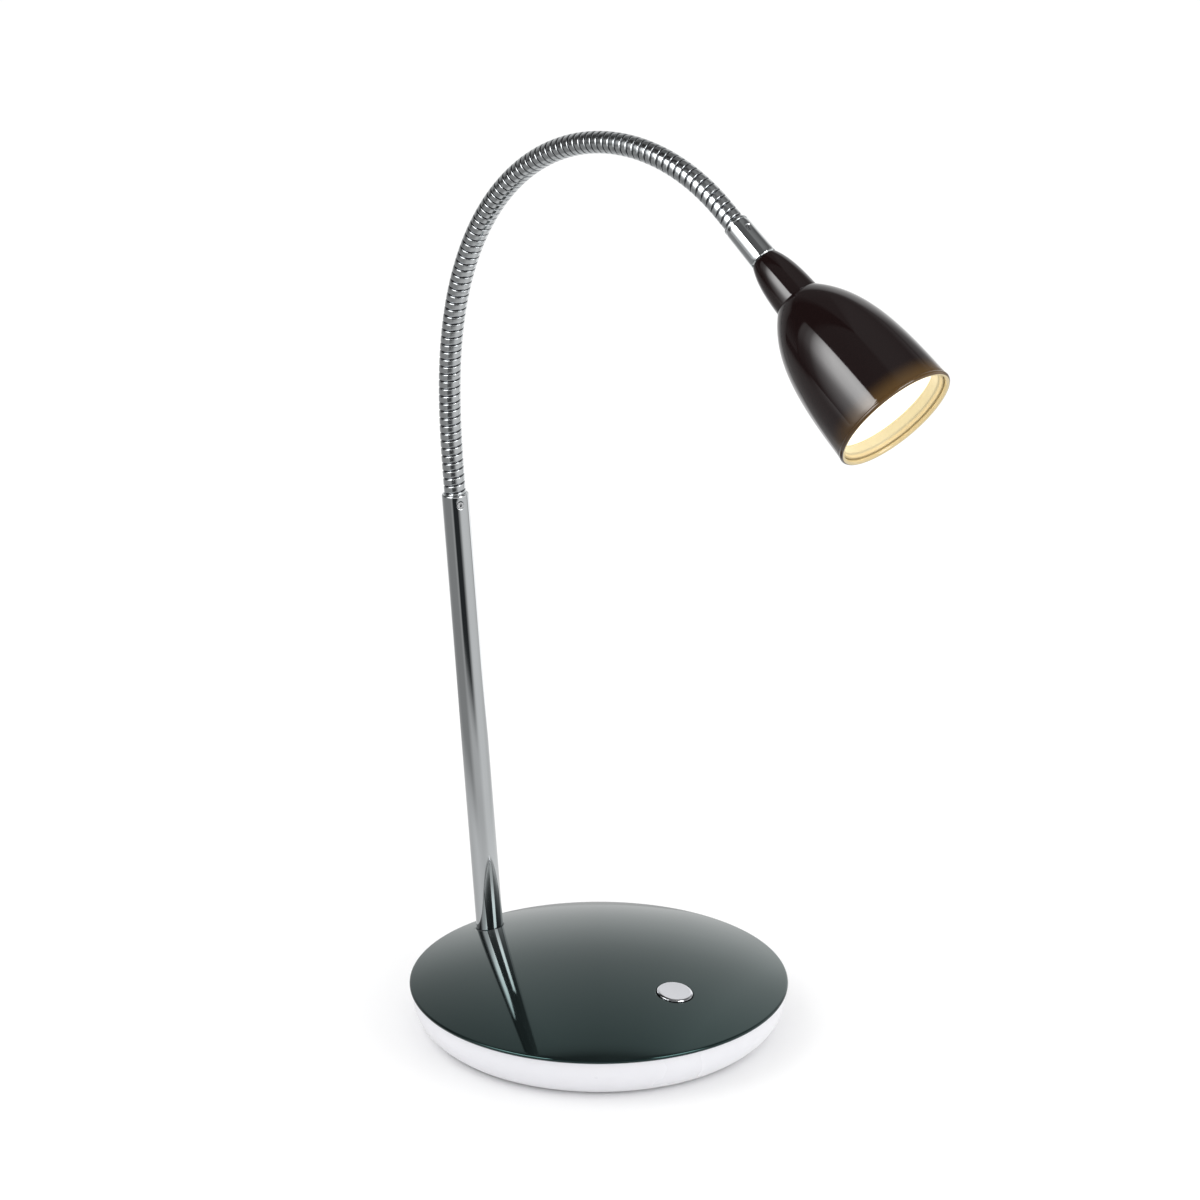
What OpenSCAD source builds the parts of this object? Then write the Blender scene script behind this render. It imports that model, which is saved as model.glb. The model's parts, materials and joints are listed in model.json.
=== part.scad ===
// Gooseneck desk lamp with a domed base, a leaning chrome stem and a small bell head.
// Millimetres. +Z is up, the head reaches over -Y, the stem stands at +Y, and the
// origin is the middle of the base at the height of the table.

/* [Base] */
// Diameter of the black cover plate
base_d = 140; // [132:1:150]
// Thickness of the plate's rounded edge
edge_t = 1.6; // [1.2:0.1:2.4]
// Rise of the dome above its edge
dome_rise = 10; // [8:0.5:13]
// Wall of the cover under the dome
cover_wall = 2; // [1.6:0.1:2.4]
// Height of the joint between the shell and the cover
seam_z = 15.8; // [15:0.1:18]
// How far the cover overhangs the shell
overhang = 1.1; // [0.8:0.1:3]
// How far the shell tucks in towards the table
tuck = 7.5; // [4:0.1:8.5]
// How late the shell turns in on its way down
shell_curve = 3.2; // [2:0.1:4]
// Wall of the white shell
shell_wall = 2.2; // [1.8:0.1:2.6]
// Thickness of the rubber feet
foot_h = 0.8; // [0.6:0.1:1.2]
// Diameter of a rubber foot
foot_d = 9; // [6:0.5:12]
// Diameter of the steel bottom plate
bottom_plate_d = 112; // [108:1:116]
// Thickness of the steel bottom plate
bottom_plate_t = 1.2; // [1:0.1:1.6]
// Diameter of the ballast disc
ballast_d = 90; // [80:1:92]
// Thickness of the ballast disc
ballast_t = 7.5; // [6:0.1:8]
// Diameter of the cable hole in the shell
inlet_d = 6.6; // [6:0.1:7.2]
// Diameter of the cable that the bush takes
bush_bore_d = 4.4; // [3:0.1:4.8]

/* [Button] */
// Diameter of the push button
button_d = 13.2; // [11:0.1:15]
// Distance of the button in front of the middle of the base
button_y = 39; // [34:0.5:41]
// How far the button stands above the dome
button_proud = 0.8; // [0.5:0.1:3]
// Travel of the button
button_travel = 1.5; // [0.8:0.1:2]
// Turns of the return spring
spring_turns = 4; // [3:1:5]
// Wire of the return spring
spring_wire = 0.6; // [0.4:0.1:0.7]

/* [Stem] */
// Outside diameter of the stem tube
stem_d = 10; // [9:0.1:11]
// Wall of the stem tube
stem_wall = 1; // [0.8:0.1:1.2]
// Length of the stem above the dome
stem_len = 170.5; // [120:0.5:220]
// Distance of the stem behind the middle of the base
stem_y = 56.8; // [54:0.2:57.4]
// Backward lean of the stem in degrees
stem_lean = 5.6; // [0:0.1:8]

/* [Gooseneck] */
// Outside diameter over the ribs
neck_d = 8; // [7.4:0.1:8.6]
// Distance from rib to rib
rib_pitch = 2.9; // [2.8:0.05:3.4]
// Width of one rib
rib_w = 1.9; // [1.6:0.05:2]
// Depth of the grooves between the ribs
groove_depth = 0.5; // [0.3:0.05:0.55]
// Ribs on each link
ribs_per_link = 4; // [4:1:6]
// Ball joints along the neck
hinge_count = 21; // [12:1:21]
// Diameter of the ball at the foot of a link
ball_d = 6.5; // [6.2:0.05:6.6]
// Running clearance round a ball
ball_clearance = 0.1; // [0.05:0.01:0.12]
// Bore through the links for the lead
neck_bore_d = 3.8; // [3:0.1:4]
// Bend at the first ball joint in degrees
bend_foot = 1.4; // [0:0.1:4]
// Bend a quarter of the way up in degrees
bend_low = 4.9; // [1:0.1:8]
// Bend halfway up in degrees
bend_middle = 6.8; // [2:0.1:10]
// Bend three quarters of the way up in degrees
bend_high = 7.9; // [2:0.1:11]
// Bend at the last ball joint in degrees
bend_head = 9.4; // [2:0.1:12]

/* [Head] */
// Length of the chrome ferrule
ferrule_len = 17.3; // [15:0.1:22]
// Diameter of the ferrule at the neck
ferrule_d1 = 9.4; // [8.6:0.1:10]
// Diameter of the ferrule at the collar
ferrule_d2 = 10.1; // [9.2:0.1:11]
// Length of the black collar
collar_len = 19.3; // [14:0.1:24]
// Diameter of the collar at the shade
collar_d = 17.1; // [15:0.1:17.4]
// Length of the shade
shade_len = 55.2; // [52:0.1:70]
// Diameter of the shade at its shoulder
shade_d1 = 17.6; // [17.4:0.1:19]
// Diameter of the shade at its mouth
shade_d2 = 46.8; // [44:0.1:52]
// Length over which the bell opens out
shade_flare = 16.4; // [12:0.1:22]
// Wall of the shade
shade_wall = 1.3; // [0.9:0.1:1.6]
// Diameter of the rolled lip's bead
bead_d = 1.8; // [1.4:0.1:2.2]
// Depth of the diffuser behind the mouth
recess = 6; // [4:0.1:12]
// Thickness of the diffuser
diffuser_t = 2; // [1.5:0.1:3]
// Cooling fins on the heat sink
fin_count = 12; // [8:1:16]
// Light emitting chips round the board
chip_count = 8; // [6:1:9]

/* [Hidden] */
$fn = 96;
// Clearances
fit_gap = 0.05;         // a threaded or pressed joint
slide_gap = 0.1;        // parts that seat in each other
button_gap = 0.3;       // round the button in the cover
lead_r = 1;             // radius of the two-core lead
lead_gap = 0.4;         // round the lead where it turns

// Base
base_r = base_d / 2;
shell_r = base_r - overhang;
dome_foot_r = base_r - edge_t / 2;
dome_foot_z = seam_z + edge_t;
dome_r = (dome_foot_r * dome_foot_r + dome_rise * dome_rise) / (2 * dome_rise);
dome_centre_z = dome_foot_z + dome_rise - dome_r;
lip_depth = 2.5;
lip_t = 1.4;
lip_r = shell_outside(seam_z - lip_depth) - shell_wall - slide_gap;
bottom_plate_r = bottom_plate_d / 2;
plate_top_z = foot_h + bottom_plate_t;
flange_t = 2;
flange_r = bottom_plate_r - 9;
screw_r = 1.5;
screw_head_r = 2.75;
base_screw_ring = bottom_plate_r - 4.5;
ballast_screw_ring = ballast_d / 3;
foot_ring = bottom_plate_r - foot_d / 2 - 2.5;
boss_r = 3.6;
screw_len = 10;
ballast_top_z = plate_top_z + ballast_t;
inlet_z = 8;
inlet_boss_r = inlet_d / 2 + 1.5;
inlet_face_y = shell_r - 1;
inlet_wall = 4;
bush_rim_r = inlet_boss_r - 0.1;
bush_rim_t = 1.4;
bush_grip_r = inlet_d / 2 + 0.8;
bush_grip_t = 1.2;

// Button and switch, measured along the button's own axis
button_r = button_d / 2;
guide_depth = 4;
button_flange_r = button_r + 1.6;
button_flange_t = 1.2;
button_flange_z = -guide_depth - button_gap;
button_foot_z = button_flange_z - button_flange_t;
spring_spare = 1.6;
switch_top_z = button_foot_z - spring_turns * spring_wire - button_travel - spring_spare;
switch_h = 6;
switch_w = 13;
switch_foot_z = switch_top_z - switch_h;
plunger_r = 1.8;
plunger_grip = 1;
plunger_len = button_foot_z - switch_top_z + plunger_grip;
spring_r = 3.2;
pocket_w = switch_w + 7;
bracket_t = 1.5;

// Stem, measured along the stem's own axis
stem_r = stem_d / 2;
stem_bore_r = stem_r - stem_wall;
stem_sink = 4;
stem_boss_depth = 7;
stem_boss_r = stem_r + 4;
nipple_r = stem_bore_r - fit_gap;
nipple_bore_r = 2.2;
nipple_up = 14;
washer_t = 1;
washer_r = 5.8;
nut_t = 3;
nut_r = 6.2;
nipple_down = stem_boss_depth + washer_t + nut_t + 0.6;
grub_r = 1.25;
grub_drop = 3.7;
grub_turn = 24;
grub_sink = 0.3;

// Gooseneck
neck_r = neck_d / 2;
groove_r = neck_r - groove_depth;
rib_edge_r = neck_r - 0.25;
rib_crown = 0.45;
ball_r = ball_d / 2;
socket_r = ball_r + ball_clearance;
ball_neck_r = ball_r - 0.45;
ball_low_z = -2;
ball_high_z = 1.6;
neck_bore_r = neck_bore_d / 2;
link_len = ribs_per_link * rib_pitch;
plug_len = 15;
plug_r = stem_bore_r - slide_gap;
bends = [bend_foot, bend_low, bend_middle, bend_high, bend_head];

// Head, measured along the head's own axis from the end of the neck
neck_end_gap = 0.15;
neck_end_len = link_len + rib_w / 2 + neck_end_gap;
end_plug_r = 3.4;
end_plug_len = 10.5;
ferrule_bore_r = end_plug_r + fit_gap;
ferrule_thread_z = end_plug_len + 0.5;
ferrule_grub_z = 5.4;
ferrule_chamfer = 0.7;
ferrule_line_z = 0.9;   // ring groove near the neck
ferrule_line_w = 0.35;
ferrule_line_depth = 0.2;
ferrule_grub_turn = 95;
head_nipple_r = 2.95;
head_nipple_bore_r = 1.7;
head_hole_r = head_nipple_r + 0.15;
collar_z = ferrule_len;
collar_flare = 8;
collar_wall = 1.6;
shade_z = collar_z + collar_len;
mouth_z = shade_z + shade_len;
head_nut_t = 3;
head_nut_r = 5.8;
nut_z = shade_z + shade_wall;
sink_z = nut_z + head_nut_t + 0.4;
sink_hub_r = 6;
sink_len = 22;
sink_disc_t = 2.5;
sink_disc_r = 17.5;
fin_t = 1.2;
fin_r1 = 9.5;
fin_r2 = 15.5;
head_nipple_len = 12;
board_z = sink_z + sink_len;
board_t = 1.6;
board_r = 15.9;
chip_ring = 10;
chip_t = 0.8;
chip_w = 3.5;
diffuser_z = mouth_z - recess - diffuser_t;
reflector_t = 0.8;
liner_wall = 0.8;
liner_step = 0.5;

function two_digits(k) = str(k < 10 ? "0" : "", k);
function link_name(k) = str("neck_link_", two_digits(k));
LINK_NAMES = [for (k = [1:hinge_count - 1]) link_name(k)];

// ---- Curves and places ----

// Height of the dome at a distance from the middle
function dome_z(r) = dome_centre_z + sqrt(dome_r * dome_r - r * r);

// Outside radius of the white shell at a height
function shell_outside(z) = shell_r - tuck * pow((seam_z - z) / (seam_z - foot_h), shell_curve);

// A bell curve that leaves r1 steeply and settles towards r2
function bell(x, len, r1, r2, flare) =
    r1 + (r2 - r1) * (1 - exp(-x / flare)) / (1 - exp(-len / flare));
function collar_outside(x) = bell(x, collar_len, ferrule_d2 / 2, collar_d / 2, collar_flare);
function shade_outside(x) = bell(x, shade_len, shade_d1 / 2, shade_d2 / 2, shade_flare);
function shade_inside(z) = shade_outside(z - shade_z) - shade_wall;

// Bend at ball joint k, from the five stations along the neck
function hinge_bend(k) =
    let (t = 4 * k / (hinge_count - 1), i = min(floor(t), 3), f = t - i)
    bends[i] * (1 - f) + bends[i + 1] * f;

// Angle of link k from upright, turning towards the front; link 0 is fixed in the stem
function link_angle(k) = k == 0 ? -stem_lean : link_angle(k - 1) + hinge_bend(k - 1);
function heading(a) = [0, -sin(a), cos(a)];
button_tilt = asin(button_y / dome_r);
switch_foot_y = -button_y - switch_foot_z * sin(button_tilt);
pocket_floor_z = dome_z(button_y) + switch_foot_z * cos(button_tilt) - bracket_t;
stem_foot = [0, stem_y, dome_z(stem_y)];
stem_top = stem_foot + stem_len * heading(-stem_lean);

// Centre of ball joint k
function hinge_pos(k) =
    k == 0 ? stem_top + link_len * heading(-stem_lean)
           : hinge_pos(k - 1) + link_len * heading(link_angle(k));
neck_end = hinge_pos(hinge_count - 1) + neck_end_len * heading(link_angle(hinge_count));

module at_button() translate([0, -button_y, dome_z(button_y)]) rotate([button_tilt, 0, 0]) children();

module at_stem() translate(stem_foot) rotate([-stem_lean, 0, 0]) children();

module at_stem_top() translate(stem_top) rotate([-stem_lean, 0, 0]) children();

module at_link(k) translate(hinge_pos(k - 1)) rotate([link_angle(k), 0, 0]) children();

module at_head() translate(neck_end) rotate([link_angle(hinge_count), 0, 0]) children();

// The cable inlet, with +Z pointing out of the back of the shell
module at_inlet() translate([0, inlet_face_y, inlet_z]) rotate([-90, 0, 0]) children();

module ring_of(count, radius, turn = 0) {
    for (i = [0:count - 1]) rotate([0, 0, turn + 360 * i / count]) translate([radius, 0, 0]) children();
}

// A tube between two heights
module sleeve(r_out, r_in, z1, z2) {
    translate([0, 0, z1]) difference() {
        cylinder(r = r_out, h = z2 - z1);
        translate([0, 0, -1]) cylinder(r = r_in, h = z2 - z1 + 2);
    }
}

// A lead swept along a list of points, none of whose stretches runs along X
module lead(points) {
    sides = 8;
    last = len(points) - 1;
    function unit(v) = v / norm(v);
    function tangent(i) = unit(points[min(i + 1, last)] - points[max(i - 1, 0)]);
    function across(i) = unit(cross(tangent(i), [1, 0, 0]));
    rings = [for (i = [0:last]) for (j = [0:sides - 1])
        let (a = 360 * j / sides, u = across(i), v = cross(tangent(i), u))
        points[i] + lead_r * (cos(a) * u + sin(a) * v)];
    walls = [for (i = [0:last - 1]) for (j = [0:sides - 1]) let (n = (j + 1) % sides)
        [i * sides + j, (i + 1) * sides + j, (i + 1) * sides + n, i * sides + n]];
    ends = [[for (j = [0:sides - 1]) j], [for (j = [sides - 1:-1:0]) last * sides + j]];
    polyhedron(rings, concat(walls, ends), convexity = 6);
}

// ---- Base ----

module dome_profile(wall, reach) {
    intersection() {
        translate([0, dome_centre_z]) circle(dome_r - wall, $fn = 360);
        translate([0, seam_z]) square([reach, dome_rise + edge_t]);
    }
}

module under_dome() {
    rotate_extrude() dome_profile(cover_wall / 2, dome_foot_r - lip_t);
    cylinder(r = lip_r - lip_t / 2, h = seam_z + edge_t);
}

module base_cover() {
    color([0.06, 0.07, 0.07]) difference() {
        union() {
            difference() {
                rotate_extrude() union() {
                    dome_profile(0, dome_foot_r);
                    translate([0, seam_z]) square([dome_foot_r, edge_t]);
                    translate([dome_foot_r, seam_z + edge_t / 2]) circle(edge_t / 2, $fn = 48);
                }
                rotate_extrude() dome_profile(cover_wall, shell_r - shell_wall - 4);
            }
            // Lip that locates the cover inside the shell
            sleeve(lip_r, lip_r - lip_t, seam_z - lip_depth, seam_z + edge_t / 2);
            intersection() {
                under_dome();
                union() {
                    at_stem() translate([0, 0, -stem_boss_depth])
                        cylinder(r = stem_boss_r, h = stem_boss_depth + 2);
                    at_button() translate([0, 0, -guide_depth])
                        cylinder(r = button_r + 2.6, h = guide_depth);
                    ring_of(4, base_screw_ring, 45) translate([0, 0, plate_top_z + flange_t + slide_gap])
                        cylinder(r = boss_r, h = seam_z);
                }
            }
        }
        at_stem() {
            translate([0, 0, -stem_sink]) cylinder(r = stem_r + slide_gap, h = stem_sink + 5);
            translate([0, 0, -stem_boss_depth - 1]) cylinder(r = nipple_r + 0.3, h = stem_boss_depth);
        }
        at_button() translate([0, 0, -guide_depth - 1])
            cylinder(r = button_r + button_gap, h = guide_depth + 3);
        ring_of(4, base_screw_ring, 45) cylinder(r = screw_r + fit_gap, h = plate_top_z + screw_len);
    }
}

module base_shell() {
    steps = 10;
    rim = seam_z - foot_h;
    outside = [for (i = [0:steps]) let (z = foot_h + rim * i / steps) [shell_outside(z), z]];
    floor_z = plate_top_z + flange_t;
    inner_rim = seam_z - floor_z;
    inside = [for (i = [steps:-1:0]) let (z = floor_z + inner_rim * i / steps) [shell_outside(z) - shell_wall, z]];
    color([0.93, 0.92, 0.94]) difference() {
        union() {
            rotate_extrude() polygon(concat(outside, inside, [
                [flange_r, floor_z],
                [flange_r, plate_top_z],
                [bottom_plate_r + slide_gap, plate_top_z],
                [bottom_plate_r + slide_gap, foot_h]]));
            at_inlet() translate([0, 0, -inlet_wall]) cylinder(r = inlet_boss_r, h = inlet_wall);
        }
        at_inlet() {
            translate([0, 0, -2 * inlet_wall]) cylinder(d = inlet_d, h = 3 * inlet_wall);
            cylinder(r = inlet_boss_r + 0.3, h = inlet_wall);
            translate([0, 0, -2 * inlet_wall]) cylinder(r = bush_grip_r + 0.3, h = inlet_wall);
        }
        ring_of(4, base_screw_ring, 45) cylinder(r = screw_r + slide_gap, h = floor_z + 1);
    }
}

// A countersunk hole or head that opens downwards from the underside of the plate
module countersink(extra) {
    translate([0, 0, foot_h]) cylinder(r1 = screw_head_r + extra, r2 = screw_r + extra, h = bottom_plate_t);
}

module bottom_plate() {
    color([0.35, 0.36, 0.37]) difference() {
        translate([0, 0, foot_h]) cylinder(r = bottom_plate_r, h = bottom_plate_t);
        ring_of(4, base_screw_ring, 45) countersink(slide_gap);
        ring_of(3, ballast_screw_ring, 90) countersink(slide_gap);
    }
}

module ballast_weight() {
    color([0.45, 0.45, 0.47]) difference() {
        translate([0, 0, plate_top_z]) cylinder(d = ballast_d, h = ballast_t);
        translate([-pocket_w / 2, switch_foot_y - pocket_w / 2, pocket_floor_z])
            cube([pocket_w, pocket_w, ballast_t]);
        ring_of(3, ballast_screw_ring, 90) cylinder(r = screw_r + fit_gap, h = plate_top_z + 5);
    }
}

// One countersunk screw with a cross recess, driven up from below
module plate_screw(length) {
    difference() {
        union() {
            countersink(0);
            translate([0, 0, plate_top_z]) cylinder(r = screw_r, h = length);
        }
        for (turn = [0, 90]) rotate([0, 0, turn]) translate([-1.6, -0.25, foot_h - 1]) cube([3.2, 0.5, 1.6]);
    }
}

module base_screws() {
    color([0.7, 0.7, 0.72]) ring_of(4, base_screw_ring, 45) plate_screw(screw_len - 1);
}

module ballast_screws() {
    color([0.7, 0.7, 0.72]) ring_of(3, ballast_screw_ring, 90) plate_screw(4.5);
}

// Four pads near the edge and one in the middle
module rubber_feet() {
    color([0.1, 0.1, 0.1]) {
        cylinder(d = foot_d, h = foot_h);
        ring_of(4, foot_ring) cylinder(d = foot_d, h = foot_h);
    }
}

// Rubber bush with a rim outside the shell and a smaller grip inside it
module cable_bush() {
    grip_z = -inlet_wall - bush_grip_t;
    color([0.12, 0.12, 0.12]) at_inlet() difference() {
        union() {
            cylinder(r = bush_rim_r, h = bush_rim_t);
            translate([0, 0, -inlet_wall]) cylinder(r = inlet_d / 2 - slide_gap, h = inlet_wall);
            translate([0, 0, grip_z]) cylinder(r = bush_grip_r, h = bush_grip_t);
        }
        translate([0, 0, 2 * grip_z]) cylinder(d = bush_bore_d, h = -4 * grip_z);
    }
}

// ---- Button and switch ----

module push_button() {
    chamfer = 0.5;
    shell_t = 1.6;
    color([0.8, 0.8, 0.81]) at_button() difference() {
        union() {
            translate([0, 0, button_foot_z]) cylinder(r = button_flange_r, h = button_flange_t);
            translate([0, 0, button_foot_z + 0.5])
                cylinder(r = button_r, h = button_proud - chamfer - button_foot_z - 0.5);
            translate([0, 0, button_proud - chamfer])
                cylinder(r1 = button_r, r2 = button_r - chamfer, h = chamfer);
        }
        // Hollow underside round the plunger's socket
        difference() {
            translate([0, 0, button_foot_z - 1]) cylinder(r = button_r - shell_t, h = button_proud - button_foot_z);
            translate([0, 0, button_foot_z]) cylinder(r = spring_r + 0.9, h = button_proud - button_foot_z);
        }
    }
}

module switch_plunger() {
    color([0.85, 0.84, 0.8]) at_button() translate([0, 0, button_foot_z - plunger_len])
        cylinder(r = plunger_r, h = plunger_len);
}

// Return spring: a wire swept along a helix, with one ring of points at a time
module button_spring() {
    low = switch_top_z + spring_wire / 2;
    high = button_foot_z - spring_wire / 2;
    sides = 8;
    steps = 14 * spring_turns;
    function on_helix(i) = let (a = 360 * spring_turns * i / steps)
        [spring_r * cos(a), spring_r * sin(a), low + (high - low) * i / steps];
    points = [for (i = [0:steps]) for (j = [0:sides - 1])
        let (a = 360 * spring_turns * i / steps, b = 360 * j / sides, c = on_helix(i))
        c + spring_wire / 2 * [cos(b) * cos(a), cos(b) * sin(a), sin(b)]];
    walls = [for (i = [0:steps - 1]) for (j = [0:sides - 1]) let (n = (j + 1) % sides)
        [i * sides + j, i * sides + n, (i + 1) * sides + n, (i + 1) * sides + j]];
    ends = [[for (j = [sides - 1:-1:0]) j], [for (j = [0:sides - 1]) steps * sides + j]];
    color([0.75, 0.75, 0.77]) at_button() polyhedron(concat(points), concat(walls, ends), convexity = 6);
}

module switch_body() {
    color([0.15, 0.15, 0.17]) at_button() difference() {
        translate([-switch_w / 2, -switch_w / 2, switch_foot_z]) cube([switch_w, switch_w, switch_h]);
        translate([0, 0, switch_foot_z + 1]) cylinder(r = plunger_r + slide_gap, h = switch_h);
    }
}

// Wedge that holds the switch square to the button
module switch_bracket() {
    bracket_w = switch_w + 3;
    color([0.55, 0.56, 0.58]) difference() {
        translate([-bracket_w / 2, switch_foot_y - bracket_w / 2, pocket_floor_z])
            cube([bracket_w, bracket_w, 3 * bracket_t]);
        at_button() translate([-bracket_w, -bracket_w, switch_foot_z])
            cube([2 * bracket_w, 2 * bracket_w, switch_h]);
    }
}

// ---- Electronics on the ballast ----

board_w = 56;
board_l = 38;
board_mid_y = 8;
post_h = 3;
post_r = 2.2;
pcb_z = ballast_top_z + post_h;
pcb_top_z = pcb_z + board_t;

module board_corners() {
    for (x = [-1, 1]) for (y = [-1, 1])
        translate([x * (board_w / 2 - 3.5), board_mid_y + y * (board_l / 2 - 3.5), 0]) children();
}

module driver_board() {
    color([0.1, 0.35, 0.18]) difference() {
        translate([-board_w / 2, board_mid_y - board_l / 2, pcb_z]) cube([board_w, board_l, board_t]);
        board_corners() translate([0, 0, pcb_z - 1]) cylinder(r = 1.6, h = 4);
    }
}

// Spacers with a snap pin that holds the board
module board_posts() {
    color([0.85, 0.85, 0.82]) board_corners() {
        translate([0, 0, ballast_top_z]) cylinder(r = post_r, h = post_h);
        translate([0, 0, pcb_z]) cylinder(r = 1.5, h = board_t + 1);
    }
}

module transformer() {
    color([0.75, 0.7, 0.25]) translate([-6, board_mid_y, pcb_top_z]) {
        translate([-8, -6.5, 0]) cube([16, 13, 1.2]);
        translate([0, 0, 1.2]) cylinder(r = 4.5, h = 4.6);
        translate([-8, -5, 1.2]) cube([2, 10, 4.6]);
        translate([6, -5, 1.2]) cube([2, 10, 4.6]);
        translate([-8, -6.5, 5.8]) cube([16, 13, 1.2]);
    }
}

module capacitors() {
    color([0.12, 0.13, 0.3]) {
        translate([14, board_mid_y - 7, pcb_top_z]) cylinder(r = 4, h = 7);
        translate([14, board_mid_y + 6, pcb_top_z]) cylinder(r = 3.15, h = 6);
        translate([-20, board_mid_y - 5, pcb_top_z]) cylinder(r = 2.5, h = 5.5);
    }
}

module terminal_block() {
    block_y = board_mid_y + board_l / 2 - 8;
    color([0.2, 0.5, 0.3]) difference() {
        translate([-7.5, block_y, pcb_top_z]) cube([15, 7, 6]);
        for (x = [-5, 0, 5]) {
            translate([x, block_y + 3.5, pcb_top_z + 3]) cylinder(r = 1.5, h = 4);
            translate([x - 1.2, block_y + 4, pcb_top_z + 0.8]) cube([2.4, 4, 2.4]);
        }
    }
}

// Leads from the board to the switch and up the stem to the neck
module base_leads() {
    block_face_y = board_mid_y + board_l / 2 - 1;
    board_foot_y = board_mid_y - board_l / 2;
    nipple_foot = stem_foot - nipple_down * heading(-stem_lean);
    stem_lead_end = stem_foot + (stem_len - plug_len - 4) * heading(-stem_lean);
    switch_side = switch_w / 2 + lead_r + slide_gap;
    color([0.75, 0.74, 0.7]) {
        lead([[0, block_face_y - 2.9, pcb_top_z + 2],
              [0, block_face_y + 5, pcb_top_z + 2],
              [0, ballast_d / 2 - lead_r, ballast_top_z + 2 * lead_r],
              nipple_foot - [0, nut_r, lead_gap],
              nipple_foot - 4 * lead_gap * heading(-stem_lean),
              stem_lead_end]);
        for (x = [-1, 1])
            lead([[x * 3.5, board_foot_y - 0.01, pcb_z + board_t / 2],
                  [x * 3.5, board_foot_y - lead_r, pcb_z + board_t / 2],
                  [x * 5, board_foot_y - 4, pcb_z + 1],
                  [x * switch_side, -button_y + switch_w / 2 + 1.5, pcb_z - 0.5],
                  [x * switch_side, -button_y, pcb_z - 0.5]]);
    }
}

// ---- Stem ----

module stem_tube() {
    round_r = stem_wall / 2;
    color([0.82, 0.83, 0.85]) at_stem() difference() {
        union() {
            sleeve(stem_r, stem_bore_r, -stem_sink, stem_len - round_r);
            // Rolled top edge
            translate([0, 0, stem_len - round_r]) rotate_extrude()
                translate([stem_bore_r + round_r, 0]) circle(round_r, $fn = 32);
        }
        translate([0, 0, stem_len - grub_drop]) rotate([0, 0, -90 - grub_turn]) rotate([0, 90, 0]) {
            cylinder(r = grub_r + fit_gap, h = stem_d);
            // Countersunk rim of the screw's hole
            translate([0, 0, stem_r - 2 * grub_sink])
                cylinder(r1 = grub_r + fit_gap, r2 = grub_r + 3 * grub_sink, h = 3 * grub_sink);
        }
    }
}

module stem_nipple() {
    color([0.72, 0.66, 0.42]) at_stem() sleeve(nipple_r, nipple_bore_r, -nipple_down, nipple_up - stem_sink);
}

module stem_washer() {
    color([0.7, 0.7, 0.72]) at_stem()
        sleeve(washer_r, nipple_r + 0.2, -stem_boss_depth - washer_t, -stem_boss_depth);
}

module stem_nut() {
    color([0.66, 0.66, 0.68]) at_stem() translate([0, 0, -stem_boss_depth - washer_t - nut_t]) difference() {
        cylinder(r = nut_r, h = nut_t, $fn = 6);
        translate([0, 0, -1]) cylinder(r = nipple_r + fit_gap, h = nut_t + 2);
    }
}

// A headless screw with a hexagon socket, pointing along +X from r1 to r2
module grub_screw(r1, r2) {
    rotate([0, 90, 0]) translate([0, 0, r1]) difference() {
        cylinder(r = grub_r, h = r2 - r1);
        translate([0, 0, r2 - r1 - 0.8]) cylinder(r = 0.7, h = 2, $fn = 6);
    }
}

module stem_grub_screw() {
    color([0.4, 0.4, 0.42]) at_stem_top() translate([0, 0, -grub_drop]) rotate([0, 0, -90 - grub_turn])
        grub_screw(plug_r, stem_r - 0.15);
}

// ---- Gooseneck ----

// Outline of the rib that stands at a height
function rib(z) = [
    [groove_r, z - rib_w / 2],
    [rib_edge_r, z - rib_w / 2],
    [neck_r, z - rib_w / 2 + rib_crown],
    [neck_r, z + rib_w / 2 - rib_crown],
    [rib_edge_r, z + rib_w / 2],
    [groove_r, z + rib_w / 2]];

// Ribbed length that starts at a radius and a height, up to the crest of the last rib
module ribbed(start_r, start_z) {
    crests = [for (i = [1:ribs_per_link]) each rib(i * rib_pitch)];
    top_z = link_len + rib_w / 2;
    rotate_extrude() polygon(concat(
        [[neck_bore_r, start_z], [start_r, start_z], [start_r, rib_pitch - rib_w / 2]],
        crests,
        [[neck_bore_r, top_z]]));
}

module ball() {
    intersection() {
        sphere(ball_r);
        translate([0, 0, ball_low_z]) cylinder(r = ball_d, h = ball_high_z - ball_low_z);
    }
}

module socket() translate([0, 0, link_len]) sphere(socket_r);

module lead_bore(z1, z2) translate([0, 0, z1]) cylinder(r = neck_bore_r, h = z2 - z1);

module neck_root_link() {
    color([0.78, 0.79, 0.81]) at_stem_top() difference() {
        union() {
            ribbed(groove_r, 0);
            translate([0, 0, -plug_len]) cylinder(r = plug_r, h = plug_len);
        }
        socket();
        lead_bore(-plug_len - 1, link_len + 5);
    }
}

module neck_link(k) {
    color([0.78, 0.79, 0.81]) at_link(k) difference() {
        union() {
            ball();
            ribbed(ball_neck_r, 0.5);
        }
        socket();
        lead_bore(-5, link_len + 5);
    }
}

module neck_end_link() {
    color([0.78, 0.79, 0.81]) at_link(hinge_count) difference() {
        union() {
            ball();
            ribbed(ball_neck_r, 0.5);
            translate([0, 0, link_len]) cylinder(r = end_plug_r, h = neck_end_len - link_len + end_plug_len);
        }
        lead_bore(-5, neck_end_len + end_plug_len + 1);
    }
}

// Two-core lead through every link, from the stem to the light board
module neck_lead() {
    last = hinge_count - 1;
    color([0.75, 0.74, 0.7]) lead(concat(
        [stem_top - (plug_len + 4) * heading(-stem_lean)],
        [for (k = [0:last]) hinge_pos(k)],
        [neck_end + board_z * heading(link_angle(hinge_count))]));
}

// ---- Head ----

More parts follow.
